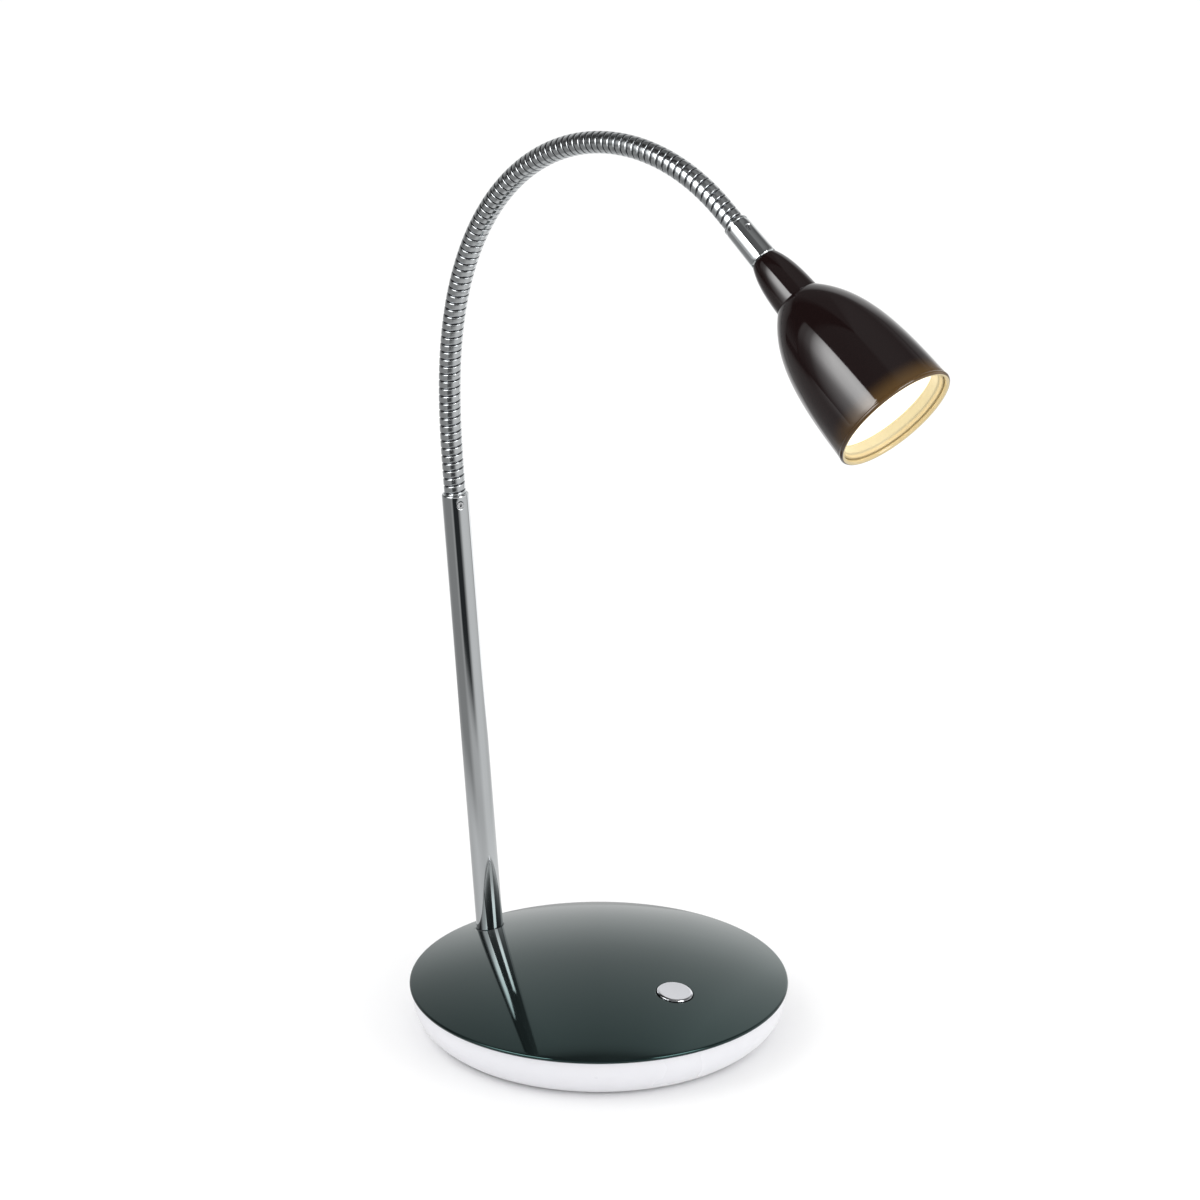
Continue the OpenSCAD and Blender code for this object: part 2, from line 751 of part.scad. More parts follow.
module ferrule() {
    edge = 0.35;
    r1 = ferrule_d1 / 2;
    r2 = ferrule_d2 / 2;
    thread_r = head_nipple_r + fit_gap;
    line_end = ferrule_line_z + ferrule_line_w;
    function taper(z) = r1 + (r2 - r1) * z / ferrule_len;
    color([0.82, 0.83, 0.85]) at_head() difference() {
        rotate_extrude() polygon([
            [thread_r, ferrule_thread_z], [ferrule_bore_r, ferrule_thread_z], [ferrule_bore_r, 0],
            [r1 - edge, 0], [taper(edge), edge],
            [taper(ferrule_line_z), ferrule_line_z], [r1 - ferrule_line_depth, ferrule_line_z],
            [r1 - ferrule_line_depth, line_end], [taper(line_end), line_end],
            [r2, ferrule_len - ferrule_chamfer], [r2 - ferrule_chamfer / 2, ferrule_len],
            [thread_r, ferrule_len]]);
        translate([0, 0, ferrule_grub_z]) rotate([0, 0, ferrule_grub_turn]) rotate([0, 90, 0])
            cylinder(r = 1 + fit_gap, h = ferrule_d2);
    }
}

module ferrule_grub_screw() {
    color([0.4, 0.4, 0.42]) at_head() translate([0, 0, ferrule_grub_z]) rotate([0, 0, ferrule_grub_turn])
        rotate([0, 90, 0]) translate([0, 0, end_plug_r]) difference() {
            cylinder(r = 1, h = ferrule_d1 / 2 - end_plug_r - 0.1);
            translate([0, 0, 0.3]) cylinder(r = 0.5, h = 2, $fn = 6);
        }
}

module head_nipple() {
    color([0.72, 0.66, 0.42]) at_head()
        sleeve(head_nipple_r, head_nipple_bore_r, ferrule_thread_z + 0.3, sink_z + head_nipple_len);
}

module collar() {
    steps = 12;
    cap_t = 4;
    outside = [for (i = [0:steps]) let (x = collar_len * i / steps) [collar_outside(x), collar_z + x]];
    inside = [for (i = [steps:-1:0]) let (x = cap_t + (collar_len - cap_t) * i / steps)
        [collar_outside(x) - collar_wall, collar_z + x]];
    color([0.05, 0.05, 0.05]) at_head() rotate_extrude() polygon(concat(outside, inside, [
        [head_hole_r, collar_z + cap_t],
        [head_hole_r, collar_z]]));
}

module shade() {
    steps = 22;
    last = steps - 1;
    edge = 0.4;
    // Steps lie closer together where the bell curves most
    function along(i, len) = len * pow(i / steps, 1.5);
    outside = [for (i = [1:steps]) let (x = along(i, shade_len)) [shade_outside(x), shade_z + x]];
    inside = [for (i = [steps:-1:0]) let (x = shade_wall + along(i, shade_len - shade_wall))
        [shade_outside(x) - shade_wall, shade_z + x]];
    color([0.05, 0.05, 0.05]) at_head() rotate_extrude() union() {
        polygon(concat(
            [[shade_d1 / 2 - edge, shade_z]],
            outside, inside,
            [[head_hole_r, shade_z + shade_wall], [head_hole_r, shade_z]]));
        translate([shade_outside(shade_len) - bead_d / 2 + 0.2, mouth_z]) circle(bead_d / 2, $fn = 40);
    }
}

module head_nut() {
    color([0.66, 0.66, 0.68]) at_head() translate([0, 0, nut_z]) difference() {
        cylinder(r = head_nut_r, h = head_nut_t, $fn = 6);
        translate([0, 0, -1]) cylinder(r = head_nipple_r + fit_gap, h = head_nut_t + 2);
    }
}

// Finned heat sink that screws onto the nipple and carries the light board
module heat_sink() {
    disc_z = sink_len - sink_disc_t;
    color([0.72, 0.73, 0.75]) at_head() translate([0, 0, sink_z]) difference() {
        union() {
            cylinder(r = sink_hub_r, h = disc_z);
            translate([0, 0, disc_z]) cylinder(r = sink_disc_r, h = sink_disc_t);
            for (i = [0:fin_count - 1]) rotate([0, 0, 360 * i / fin_count]) rotate([90, 0, 0])
                translate([0, 0, -fin_t / 2]) linear_extrude(fin_t) polygon([
                    [sink_hub_r - 1, 1], [fin_r1, 1], [fin_r2, disc_z + 0.5], [sink_hub_r - 1, disc_z + 0.5]]);
        }
        translate([0, 0, -1]) cylinder(r = head_nipple_r + fit_gap, h = head_nipple_len + 2);
        cylinder(r = lead_r + lead_gap, h = sink_len + 1);
    }
}

module led_board() {
    color([0.93, 0.93, 0.9]) at_head() translate([0, 0, board_z]) cylinder(r = board_r, h = board_t);
}

module led_chips() {
    color([0.95, 0.85, 0.35]) at_head() translate([0, 0, board_z + board_t]) {
        ring_of(chip_count, chip_ring) translate([-chip_w / 2, -chip_w / 2, 0]) cube([chip_w, chip_w, chip_t]);
        translate([-chip_w / 2, -chip_w / 2, 0]) cube([chip_w, chip_w, chip_t]);
    }
}

// Cone between the light board and the diffuser
module reflector() {
    top_r = shade_inside(diffuser_z) - 1.2;
    color([0.96, 0.96, 0.95]) at_head() rotate_extrude() polygon([
        [board_r + slide_gap, board_z], [board_r + slide_gap + reflector_t, board_z],
        [top_r, diffuser_z - reflector_t], [top_r + 0.9, diffuser_z - reflector_t],
        [top_r + 0.9, diffuser_z], [top_r - reflector_t, diffuser_z]]);
}

module diffuser() {
    color([1, 0.99, 0.95]) at_head() translate([0, 0, diffuser_z])
        cylinder(r = shade_inside(diffuser_z) - slide_gap, h = diffuser_t);
}

// Pale lining that holds the diffuser, with a thin step near the lip
module retaining_ring() {
    z1 = diffuser_z + diffuser_t;
    z2 = mouth_z - bead_d * 0.45;
    outer_r = shade_inside(z1) - slide_gap;
    color([0.96, 0.9, 0.72]) at_head() rotate_extrude() polygon([
        [outer_r - liner_wall - liner_step, z1], [outer_r, z1], [outer_r, z2], [outer_r - liner_wall, z2],
        [outer_r - liner_wall, z2 - 1.2], [outer_r - liner_wall - liner_step, z2 - 1.7]]);
}

// ---- The lamp ----

base_cover();
base_shell();
bottom_plate();
ballast_weight();
ballast_screws();
base_screws();
rubber_feet();
cable_bush();
push_button();
switch_plunger();
button_spring();
switch_body();
switch_bracket();
driver_board();
board_posts();
transformer();
capacitors();
terminal_block();
base_leads();
stem_tube();
stem_nipple();
stem_washer();
stem_nut();
stem_grub_screw();
neck_root_link();
for (k = [1:hinge_count - 1]) neck_link(k);
neck_end_link();
neck_lead();
ferrule();
ferrule_grub_screw();
head_nipple();
collar();
shade();
head_nut();
heat_sink();
led_board();
led_chips();
reflector();
diffuser();
retaining_ring();
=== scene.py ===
"""Gooseneck desk lamp: finished pieces, a wound neck that bends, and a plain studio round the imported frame."""

import json
import math

import bmesh
import bpy
from bpy.props import FloatProperty, FloatVectorProperty, IntProperty, PointerProperty
from bpy.types import Operator, Panel, PropertyGroup
from mathutils import Matrix, Vector


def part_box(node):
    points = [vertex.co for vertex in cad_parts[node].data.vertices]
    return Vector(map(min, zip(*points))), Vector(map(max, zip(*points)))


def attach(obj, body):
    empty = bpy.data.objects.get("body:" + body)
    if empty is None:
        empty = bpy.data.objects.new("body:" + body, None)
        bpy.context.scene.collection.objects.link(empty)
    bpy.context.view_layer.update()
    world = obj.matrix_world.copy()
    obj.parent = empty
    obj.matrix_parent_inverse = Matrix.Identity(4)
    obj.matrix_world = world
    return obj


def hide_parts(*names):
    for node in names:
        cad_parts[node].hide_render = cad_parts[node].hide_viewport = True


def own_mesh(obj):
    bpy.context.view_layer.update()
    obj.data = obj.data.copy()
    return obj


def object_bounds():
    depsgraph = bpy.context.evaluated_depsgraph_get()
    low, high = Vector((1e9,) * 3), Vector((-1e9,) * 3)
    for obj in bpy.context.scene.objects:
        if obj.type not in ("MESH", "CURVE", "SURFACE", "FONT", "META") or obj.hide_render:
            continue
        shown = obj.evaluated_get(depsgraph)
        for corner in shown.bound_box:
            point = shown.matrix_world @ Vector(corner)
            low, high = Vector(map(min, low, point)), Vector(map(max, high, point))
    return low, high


bl_info = {
    "name": "Gooseneck Desk Lamp",
    "version": (1, 0, 0),
    "blender": (4, 5, 0),
    "location": "3D View > Sidebar > Desk Lamp",
    "description": "Builds a gooseneck desk lamp, its finishes and a plain studio",
    "category": "Add Mesh",
}

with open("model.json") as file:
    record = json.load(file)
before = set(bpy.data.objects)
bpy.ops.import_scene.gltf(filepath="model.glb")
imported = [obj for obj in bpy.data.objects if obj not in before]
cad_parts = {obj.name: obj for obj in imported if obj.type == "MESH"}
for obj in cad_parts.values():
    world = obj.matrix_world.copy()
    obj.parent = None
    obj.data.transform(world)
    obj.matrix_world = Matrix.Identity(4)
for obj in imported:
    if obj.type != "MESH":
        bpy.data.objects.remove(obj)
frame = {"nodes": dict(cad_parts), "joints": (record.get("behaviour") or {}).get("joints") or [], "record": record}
CAD_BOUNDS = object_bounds()
MM = 0.001
FULL_TURN = 2 * math.pi
WELD = 1e-7


# ---- Places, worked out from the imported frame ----


def centre(node):
    """Middle of a CAD node's box."""
    low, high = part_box(node)
    return (low + high) / 2


def place_along(origin, direction):
    """Place whose +Z runs along a direction and whose +X stays as near the lamp's +X as it can."""
    z = direction.normalized()
    y = z.cross(Vector((1, 0, 0))).normalized()
    x = y.cross(z)
    place = Matrix((x, y, z)).transposed().to_4x4()
    place.translation = origin
    return place


def reach(node, place):
    """Lowest and highest height of a CAD node along a place's +Z."""
    back = place.inverted()
    heights = [(back @ v.co).z for v in frame["nodes"][node].data.vertices]
    return min(heights), max(heights)


def girth(node, place):
    """Largest radius of a CAD node round a place's +Z."""
    back = place.inverted()
    return max((back @ v.co).xy.length for v in frame["nodes"][node].data.vertices)


NECK_JOINTS = [joint for joint in frame["joints"] if joint["type"] == "hinge"]
PRESS = next(joint for joint in frame["joints"] if joint["type"] == "slide")
HINGES = [Vector(joint["pos_m"]) for joint in NECK_JOINTS]
LINK_BODIES = ["base"] + [joint["child"] for joint in NECK_JOINTS]
LINK_LENGTH = (HINGES[1] - HINGES[0]).length

BASE = Matrix.Identity(4)
STEM = place_along(centre("stem_washer"), HINGES[0] - centre("stem_washer"))
HEAD = place_along(HINGES[-1], centre("diffuser") - centre("led_board"))
BUTTON = place_along(centre("push_button"), -Vector(PRESS["axis"]))
INLET = place_along(centre("cable_bush"), Vector((0, 1, 0)))

COVER_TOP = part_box("base_cover")[1].z
SHELL_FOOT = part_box("base_shell")[0].z
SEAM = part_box("base_shell")[1].z
STEM_FOOT, STEM_TOP = reach("stem_tube", STEM)
NECK_END, FERRULE_END = reach("ferrule", HEAD)
COLLAR_END = reach("collar", HEAD)[1]
SHADE_START, SHADE_END = reach("shade", HEAD)
DIFFUSER_START, DIFFUSER_END = reach("diffuser", HEAD)
LEAD_END = reach("led_board", HEAD)[0]
SLOTS = {part["node"]: part["material_slot"] for part in frame["record"]["subparts"]}
COLOURS = {entry["slot"]: entry["base_color"] for entry in frame["record"]["materials"]}


# ---- Sizes and colours that a user may change ----


def size(name, description, default):
    """A length in metres."""
    return FloatProperty(
        name=name, description=description, default=default, min=0.0, unit="LENGTH", subtype="DISTANCE", precision=5
    )


def tint(name, description, default):
    """A linear colour."""
    return FloatVectorProperty(
        name=name, description=description, default=default, min=0.0, max=1.0, size=3, subtype="COLOR"
    )


class BaseSizes(PropertyGroup):
    cover_radius: size("Cover Radius", "Radius of the black cover plate", girth("base_cover", BASE))
    edge_thickness: size("Edge Thickness", "Thickness of the plate's rounded edge", 1.6 * MM)
    cover_wall: size("Cover Wall", "Wall of the cover under the dome", 2 * MM)
    lip_depth: size("Lip Depth", "How far the cover's lip reaches into the shell", 2.5 * MM)
    lip_wall: size("Lip Wall", "Wall of the cover's lip", 1.4 * MM)
    shell_radius: size("Shell Radius", "Radius of the white shell at the seam", girth("base_shell", BASE))
    shell_tuck: size("Shell Tuck", "How far the shell tucks in towards the table", 7.5 * MM)
    shell_curve: FloatProperty(
        name="Shell Curve", description="How late the shell turns in on its way down", default=3.2, min=1.0
    )
    shell_wall: size("Shell Wall", "Wall of the white shell", 2.2 * MM)
    floor_radius: size("Bottom Plate Radius", "Radius of the opening that the bottom plate closes", 56.1 * MM)
    flange_radius: size("Flange Radius", "Inner radius of the flange that takes the screws", 47 * MM)
    flange_foot: size("Flange Height", "Height of the underside of the flange", 2 * MM)
    flange_thickness: size("Flange Thickness", "Thickness of the flange", 2 * MM)
    inlet_radius: size("Inlet Radius", "Radius of the hole for the cable bush", 3.3 * MM)
    bush_bore: size("Bush Bore", "Radius of the bore that the cable goes through", 2.2 * MM)
    bush_rim: size("Bush Rim", "Thickness of the bush's rim outside the shell", 1.4 * MM)
    bush_grip: size("Bush Grip", "Radius of the bush's grip inside the shell", 4.1 * MM)
    bush_grip_thickness: size("Bush Grip Thickness", "Thickness of the bush's grip", 1.2 * MM)


class ButtonSizes(PropertyGroup):
    radius: size("Radius", "Radius of the push button", 6.6 * MM)
    chamfer: size("Chamfer", "Bright turned chamfer round the top", 0.55 * MM)
    dish: size("Dish", "Depth of the shallow dish in the top", 0.12 * MM)
    wall: size("Wall", "Wall of the hollow button", 1.6 * MM)
    flange: size("Flange", "How far the flange under the cover stands out", 1.6 * MM)
    gap: size("Gap", "Gap between the button and the cover", 0.3 * MM)
    coil_radius: size("Spring Radius", "Radius of the return spring", 3.2 * MM)
    wire_radius: size("Wire Radius", "Radius of the spring's wire", 0.3 * MM)
    coil_turns: IntProperty(name="Spring Turns", description="Turns of the return spring", default=4, min=1)


class StemSizes(PropertyGroup):
    radius: size("Radius", "Outside radius of the stem", 5 * MM)
    wall: size("Wall", "Wall of the stem tube", 1 * MM)
    foot_gap: size("Foot Gap", "Dark gap between the stem and the cover", 0.22 * MM)
    grub_radius: size("Grub Hole Radius", "Radius of the grub screw's hole", 1.3 * MM)


class NeckSizes(PropertyGroup):
    radius: size("Radius", "Outside radius of the wound neck", 4 * MM)
    pitch: size("Pitch", "Rise of the strip in one turn", 2.9 * MM)
    groove_depth: size("Groove Depth", "Depth of the groove between two turns", 0.45 * MM)
    wire_height: size("Wire Height", "Height of the filler wire over the groove", 0.12 * MM)
    bore_radius: size("Bore Radius", "Radius of the bore inside the neck", 2.7 * MM)
    lead_radius: size("Lead Radius", "Radius of the lead inside the neck", 1 * MM)
    turn_steps: IntProperty(name="Steps", description="Steps round one turn of the strip", default=56, min=12)


class HeadSizes(PropertyGroup):
    ferrule_radius: size("Ferrule Radius", "Radius of the ferrule at the neck", 4.7 * MM)
    ferrule_foot_radius: size("Ferrule Foot Radius", "Radius of the ferrule at the collar", girth("ferrule", HEAD))
    ferrule_bore: size("Ferrule Bore", "Radius of the bore in the ferrule", 3.45 * MM)
    collar_radius: size("Collar Radius", "Radius of the collar at the shade", girth("collar", HEAD))
    collar_flare: size("Collar Flare", "Length over which the collar opens out", 8 * MM)
    collar_wall: size("Collar Wall", "Wall of the collar", 1.6 * MM)
    shoulder_radius: size("Shoulder Radius", "Radius of the shade at its shoulder", 8.8 * MM)
    mouth_radius: size("Mouth Radius", "Radius of the shade just behind its lip", 23.4 * MM)
    shade_flare: size("Shade Flare", "Length over which the bell opens out", 16.4 * MM)
    shade_wall: size("Shade Wall", "Wall of the shade", 1.3 * MM)
    bead_radius: size("Bead Radius", "Radius of the rolled lip", 0.9 * MM)
    lining_wall: size("Lining Wall", "Wall of the lining in the mouth", 0.8 * MM)
    lining_step: size("Lining Step", "Height of the step in the lining near the lip", 0.5 * MM)


class LampColours(PropertyGroup):
    cover: tint("Cover", "Black gloss paint of the cover", (0.006, 0.009, 0.009))
    cover_mirror: tint("Cover Mirror", "Cool tint of what the cover mirrors", (0.55, 1.0, 0.97))
    shade: tint("Shade", "Warm black gloss paint of the collar and shade", (0.012, 0.006, 0.006))
    # Painted glow: the shade's paint near the lip takes this colour in place of the diffuser's light shining through
    # it
    lip_glow_paint: tint("Warm Edge", "Paint of the shade where its lip is lit through", (0.10, 0.055, 0.018))
    shell: tint("Shell", "Pearl white of the shell", (0.82, 0.82, 0.855))
    chrome: tint("Chrome", "Mirror colour of the chrome", (0.56, 0.58, 0.59))
    # Painted shade: colour of the chrome deep in the neck's grooves and on the flanks of its bands
    groove: tint("Groove", "Darkened chrome in the grooves of the neck", (0.13, 0.14, 0.15))
    button: tint("Button", "Satin silver of the push button", (0.70, 0.71, 0.74))
    lining: tint("Lining", "Pale cream lining in the mouth", (0.59, 0.52, 0.325))
    lining_edge: tint("Lining Edge", "Deeper cream of the lining and the lip at the edge", (0.62, 0.50, 0.27))
    glow: tint("Glow", "Light of the diffuser", (1.0, 0.90, 0.74))
    glow_strength: FloatProperty(
        name="Glow Strength", description="Strength of the diffuser's light", default=1.4, min=0.0
    )


class StudioSettings(PropertyGroup):
    camera_place: FloatVectorProperty(
        name="Camera", description="Place of the camera", default=(-1.66936, -1.61268, 1.09705), subtype="XYZ"
    )
    camera_target: FloatVectorProperty(
        name="Target", description="Point that the camera looks at", default=(0.0003, -0.00031, 0.16835), subtype="XYZ"
    )
    lens: FloatProperty(name="Lens", description="Focal length in millimetres", default=207.3, min=1.0)
    floor_radius: size("Floor Radius", "Radius of the pale floor", 6.0)
    daylight: FloatProperty(name="Daylight", description="Strength of the even white light", default=1.0, min=0.0)
    key_power: FloatProperty(name="Key Power", description="Power of the large soft lamp", default=7.0, min=0.0)
    fill_power: FloatProperty(name="Fill Power", description="Power of the lamp on the right", default=4.0, min=0.0)


# ---- Meshes ----


def chain(bm, outline, closed):
    """Edges through (radius, height, rounding) points. A rounding above 0 is how far its corner is cut back."""
    verts = [bm.verts.new((radius, 0, height)) for radius, height, _ in outline]
    for before, after in zip(verts, verts[1:]):
        bm.edges.new((before, after))
    if closed:
        bm.edges.new((verts[-1], verts[0]))
    for rounding in sorted({point[2] for point in outline if point[2] > 0}):
        corners = [vert for vert, point in zip(verts, outline) if point[2] == rounding]
        bmesh.ops.bevel(
            bm, geom=corners, offset=rounding, offset_type="OFFSET", segments=4, profile=0.5,
            affect="VERTICES", material=-1,
        )


def turned(outline, steps=96, closed=True):
    """A shape turned from an outline: a closed ring, or a solid whose open outline ends on the axis."""
    bm = bmesh.new()
    chain(bm, outline, closed)
    bmesh.ops.spin(
        bm, geom=bm.verts[:] + bm.edges[:], cent=(0, 0, 0), axis=(0, 0, 1), dvec=(0, 0, 0),
        angle=FULL_TURN, steps=steps, use_merge=True,
    )
    bmesh.ops.remove_doubles(bm, verts=bm.verts[:], dist=WELD)
    bmesh.ops.recalc_face_normals(bm, faces=bm.faces[:])
    return bm


def plain(points):
    """Outline points without rounding."""
    return [(radius, height, 0) for radius, height in points]


def rounded(point, rounding):
    """An outline point whose corner is cut back."""
    return point[:2] + (rounding,)


def rod(radius, low, high, steps=32):
    """A straight turned tool."""
    return turned(plain([(0, low), (radius, low), (radius, high), (0, high)]), steps, closed=False)


def moved(bm, place):
    """The same mesh, taken to a place."""
    bm.transform(place)
    return bm


def loose_mesh(name, bm):
    """Keeps a mesh and frees its bmesh."""
    mesh = bpy.data.meshes.new(name)
    bm.to_mesh(mesh)
    bm.free()
    return mesh


def loose_object(name, bm):
    """Puts a mesh in the scene and frees its bmesh."""
    loose = bpy.data.objects.new(name, loose_mesh(name, bm))
    bpy.context.scene.collection.objects.link(loose)
    return loose


def carved(bm, *tools, operation="DIFFERENCE"):
    """Cuts closed tools out of a closed mesh, or joins them to it, and returns what comes of it."""
    blank = loose_object("blank", bm)
    cutters = [loose_object("cutter", tool) for tool in tools]
    for cutter in cutters:
        cut = blank.modifiers.new("Cut", "BOOLEAN")
        cut.operation = operation
        cut.solver = "EXACT"
        cut.object = cutter
    rest = bmesh.new()
    rest.from_object(blank, bpy.context.evaluated_depsgraph_get())
    for scrap in [blank, *cutters]:
        bpy.data.objects.remove(scrap)
    return rest


def add_piece(name, bm, slot, replaced, body, paint=None):
    """Makes a finished piece of a mesh, riding on a body, in place of a CAD node. Its paint is the material of its
    slot, or of the slot named by paint.
    """
    piece = loose_object(name, bm)
    piece.data.materials.append(material_of(paint or slot))
    piece.data.shade_smooth()
    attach(piece, body)
    shading = piece.modifiers.new("Even Shading", "WEIGHTED_NORMAL")
    shading.keep_sharp = True
    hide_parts(replaced)
    return piece


def bell(height, length, start_radius, end_radius, flare):
    """Radius of a bell that opens out quickly from start_radius and settles towards end_radius."""
    settled = 1 - math.exp(-length / flare)
    return start_radius + (end_radius - start_radius) * (1 - math.exp(-height / flare)) / settled


def steps_between(low, high, count, power=1.0):
    """Count + 1 values from low to high, closer together at low where power is above 1."""
    return [low + (high - low) * (i / count) ** power for i in range(count + 1)]


# ---- Materials ----

MIX_FACTOR, MIX_A, MIX_B, MIX_RESULT = 0, 6, 7, 2
VALUE, VECTOR, COLOUR = "NodeSocketFloat", "NodeSocketVector", "NodeSocketColor"


class Graph:
    """A node tree that grows step by step."""

    def __init__(self, tree):
        self.tree = tree

    def add(self, kind, **settings):
        """A new node with its settings."""
        node = self.tree.nodes.new(kind)
        for key, value in settings.items():
            setattr(node, key, value)
        return node

    def join(self, source, target):
        """A link between two sockets."""
        self.tree.links.new(source, target)

    def fade(self, value, low, high):
        """0 at low and 1 at high, eased between them."""
        node = self.add("ShaderNodeMapRange", interpolation_type="SMOOTHSTEP")
        node.inputs["From Min"].default_value = low
        node.inputs["From Max"].default_value = high
        self.join(value, node.inputs["Value"])
        return node.outputs["Result"]

    def calculate(self, operation, *values):
        """A sum on numbers or sockets."""
        node = self.add("ShaderNodeMath", operation=operation)
        for socket, value in zip(node.inputs, values):
            if isinstance(value, bpy.types.NodeSocket):
                self.join(value, socket)
            else:
                socket.default_value = value
        return node.outputs["Value"]

    def blend(self, factor, first, second):
        """Mixes two colours, each a socket or a plain colour."""
        node = self.add("ShaderNodeMix", data_type="RGBA")
        self.join(factor, node.inputs[MIX_FACTOR])
        for index, colour in ((MIX_A, first), (MIX_B, second)):
            if isinstance(colour, bpy.types.NodeSocket):
                self.join(colour, node.inputs[index])
            else:
                node.inputs[index].default_value = opaque(colour)
        return node.outputs[MIX_RESULT]

    def grey_ramp(self, value, *stops):
        """A curve of greys through (position, grey) stops."""
        node = self.add("ShaderNodeValToRGB")
        ramp = node.color_ramp
        ramp.elements.remove(ramp.elements[1])
        for index, (position, grey) in enumerate(stops):
            element = ramp.elements[0] if index == 0 else ramp.elements.new(position)
            element.position = position
            element.color = (grey, grey, grey, 1)
        self.join(value, node.inputs["Fac"])
        return node.outputs["Color"]

    def noise(self, vector, scale, detail, roughness=0.5):
        """A soft noise between 0 and 1."""
        node = self.add("ShaderNodeTexNoise")
        node.inputs["Detail"].default_value = detail
        node.inputs["Roughness"].default_value = roughness
        self.join(vector, node.inputs["Vector"])
        self.join(scale, node.inputs["Scale"])
        return node.outputs["Fac"]

    def placed(self, vector, place):
        """A vector turned and centred on a place."""
        mapping = self.add("ShaderNodeMapping", vector_type="TEXTURE")
        mapping.inputs["Location"].default_value = place.translation
        mapping.inputs["Rotation"].default_value = place.to_euler()
        self.join(vector, mapping.inputs["Vector"])
        return mapping.outputs["Vector"]

    def length_of(self, x, y):
        """Length of a flat vector."""
        return self.calculate("SQRT", self.calculate(
            "ADD", self.calculate("MULTIPLY", x, x), self.calculate("MULTIPLY", y, y)
        ))

    def split(self, vector):
        """The X, Y and Z of a vector."""
        parts = self.add("ShaderNodeSeparateXYZ")
        self.join(vector, parts.inputs["Vector"])
        return parts.outputs["X"], parts.outputs["Y"], parts.outputs["Z"]


def new_group(name, inputs, outputs):
    """An empty shared effect: its graph, the sockets that it is given and the sockets of its result."""
    graph = Graph(bpy.data.node_groups.new(name, "ShaderNodeTree"))
    for in_out, sockets in (("INPUT", inputs), ("OUTPUT", outputs)):
        for socket, kind in sockets.items():
            graph.tree.interface.new_socket(socket, in_out=in_out, socket_type=kind)
    return graph, graph.add("NodeGroupInput").outputs, graph.add("NodeGroupOutput").inputs


def surface_group():
    """Shared effect: two tones of a colour, a roughness that wanders between two values, and a fine height."""
    graph, given, result = new_group(
        "Surface Variation",
        {
            "Vector": VECTOR, "Light Tone": COLOUR, "Dark Tone": COLOUR, "Smooth": VALUE, "Rough": VALUE,
            "Patch Scale": VALUE, "Grain Scale": VALUE,
        },
        {"Color": COLOUR, "Roughness": VALUE, "Height": VALUE},
    )
    patches = graph.noise(given["Vector"], given["Patch Scale"], detail=3)
    grain = graph.noise(given["Vector"], given["Grain Scale"], detail=4, roughness=0.6)
    spread = graph.add("ShaderNodeMapRange")
    spread.inputs["From Min"].default_value = 0.32
    spread.inputs["From Max"].default_value = 0.68
    graph.join(patches, spread.inputs["Value"])
    graph.join(given["Smooth"], spread.inputs["To Min"])
    graph.join(given["Rough"], spread.inputs["To Max"])
    graph.join(graph.blend(patches, given["Light Tone"], given["Dark Tone"]), result["Color"])
    graph.join(spread.outputs["Result"], result["Roughness"])
    graph.join(grain, result["Height"])
    return graph.tree


def turning_group():
    """Shared effect: fine lathe lines round the +Z of a place, as a height."""
    graph, given, result = new_group("Lathe Lines", {"Vector": VECTOR, "Line Scale": VALUE}, {"Height": VALUE})
    x, y, z = graph.split(given["Vector"])
    ring = graph.add("ShaderNodeCombineXYZ")
    graph.join(graph.length_of(x, y), ring.inputs["X"])
    graph.join(z, ring.inputs["Z"])
    graph.join(graph.noise(ring.outputs["Vector"], given["Line Scale"], detail=2), result["Height"])
    return graph.tree


def shared_group(name, make):
    """A node group that is made once and then found by its name."""
    return bpy.data.node_groups.get(name) or make()


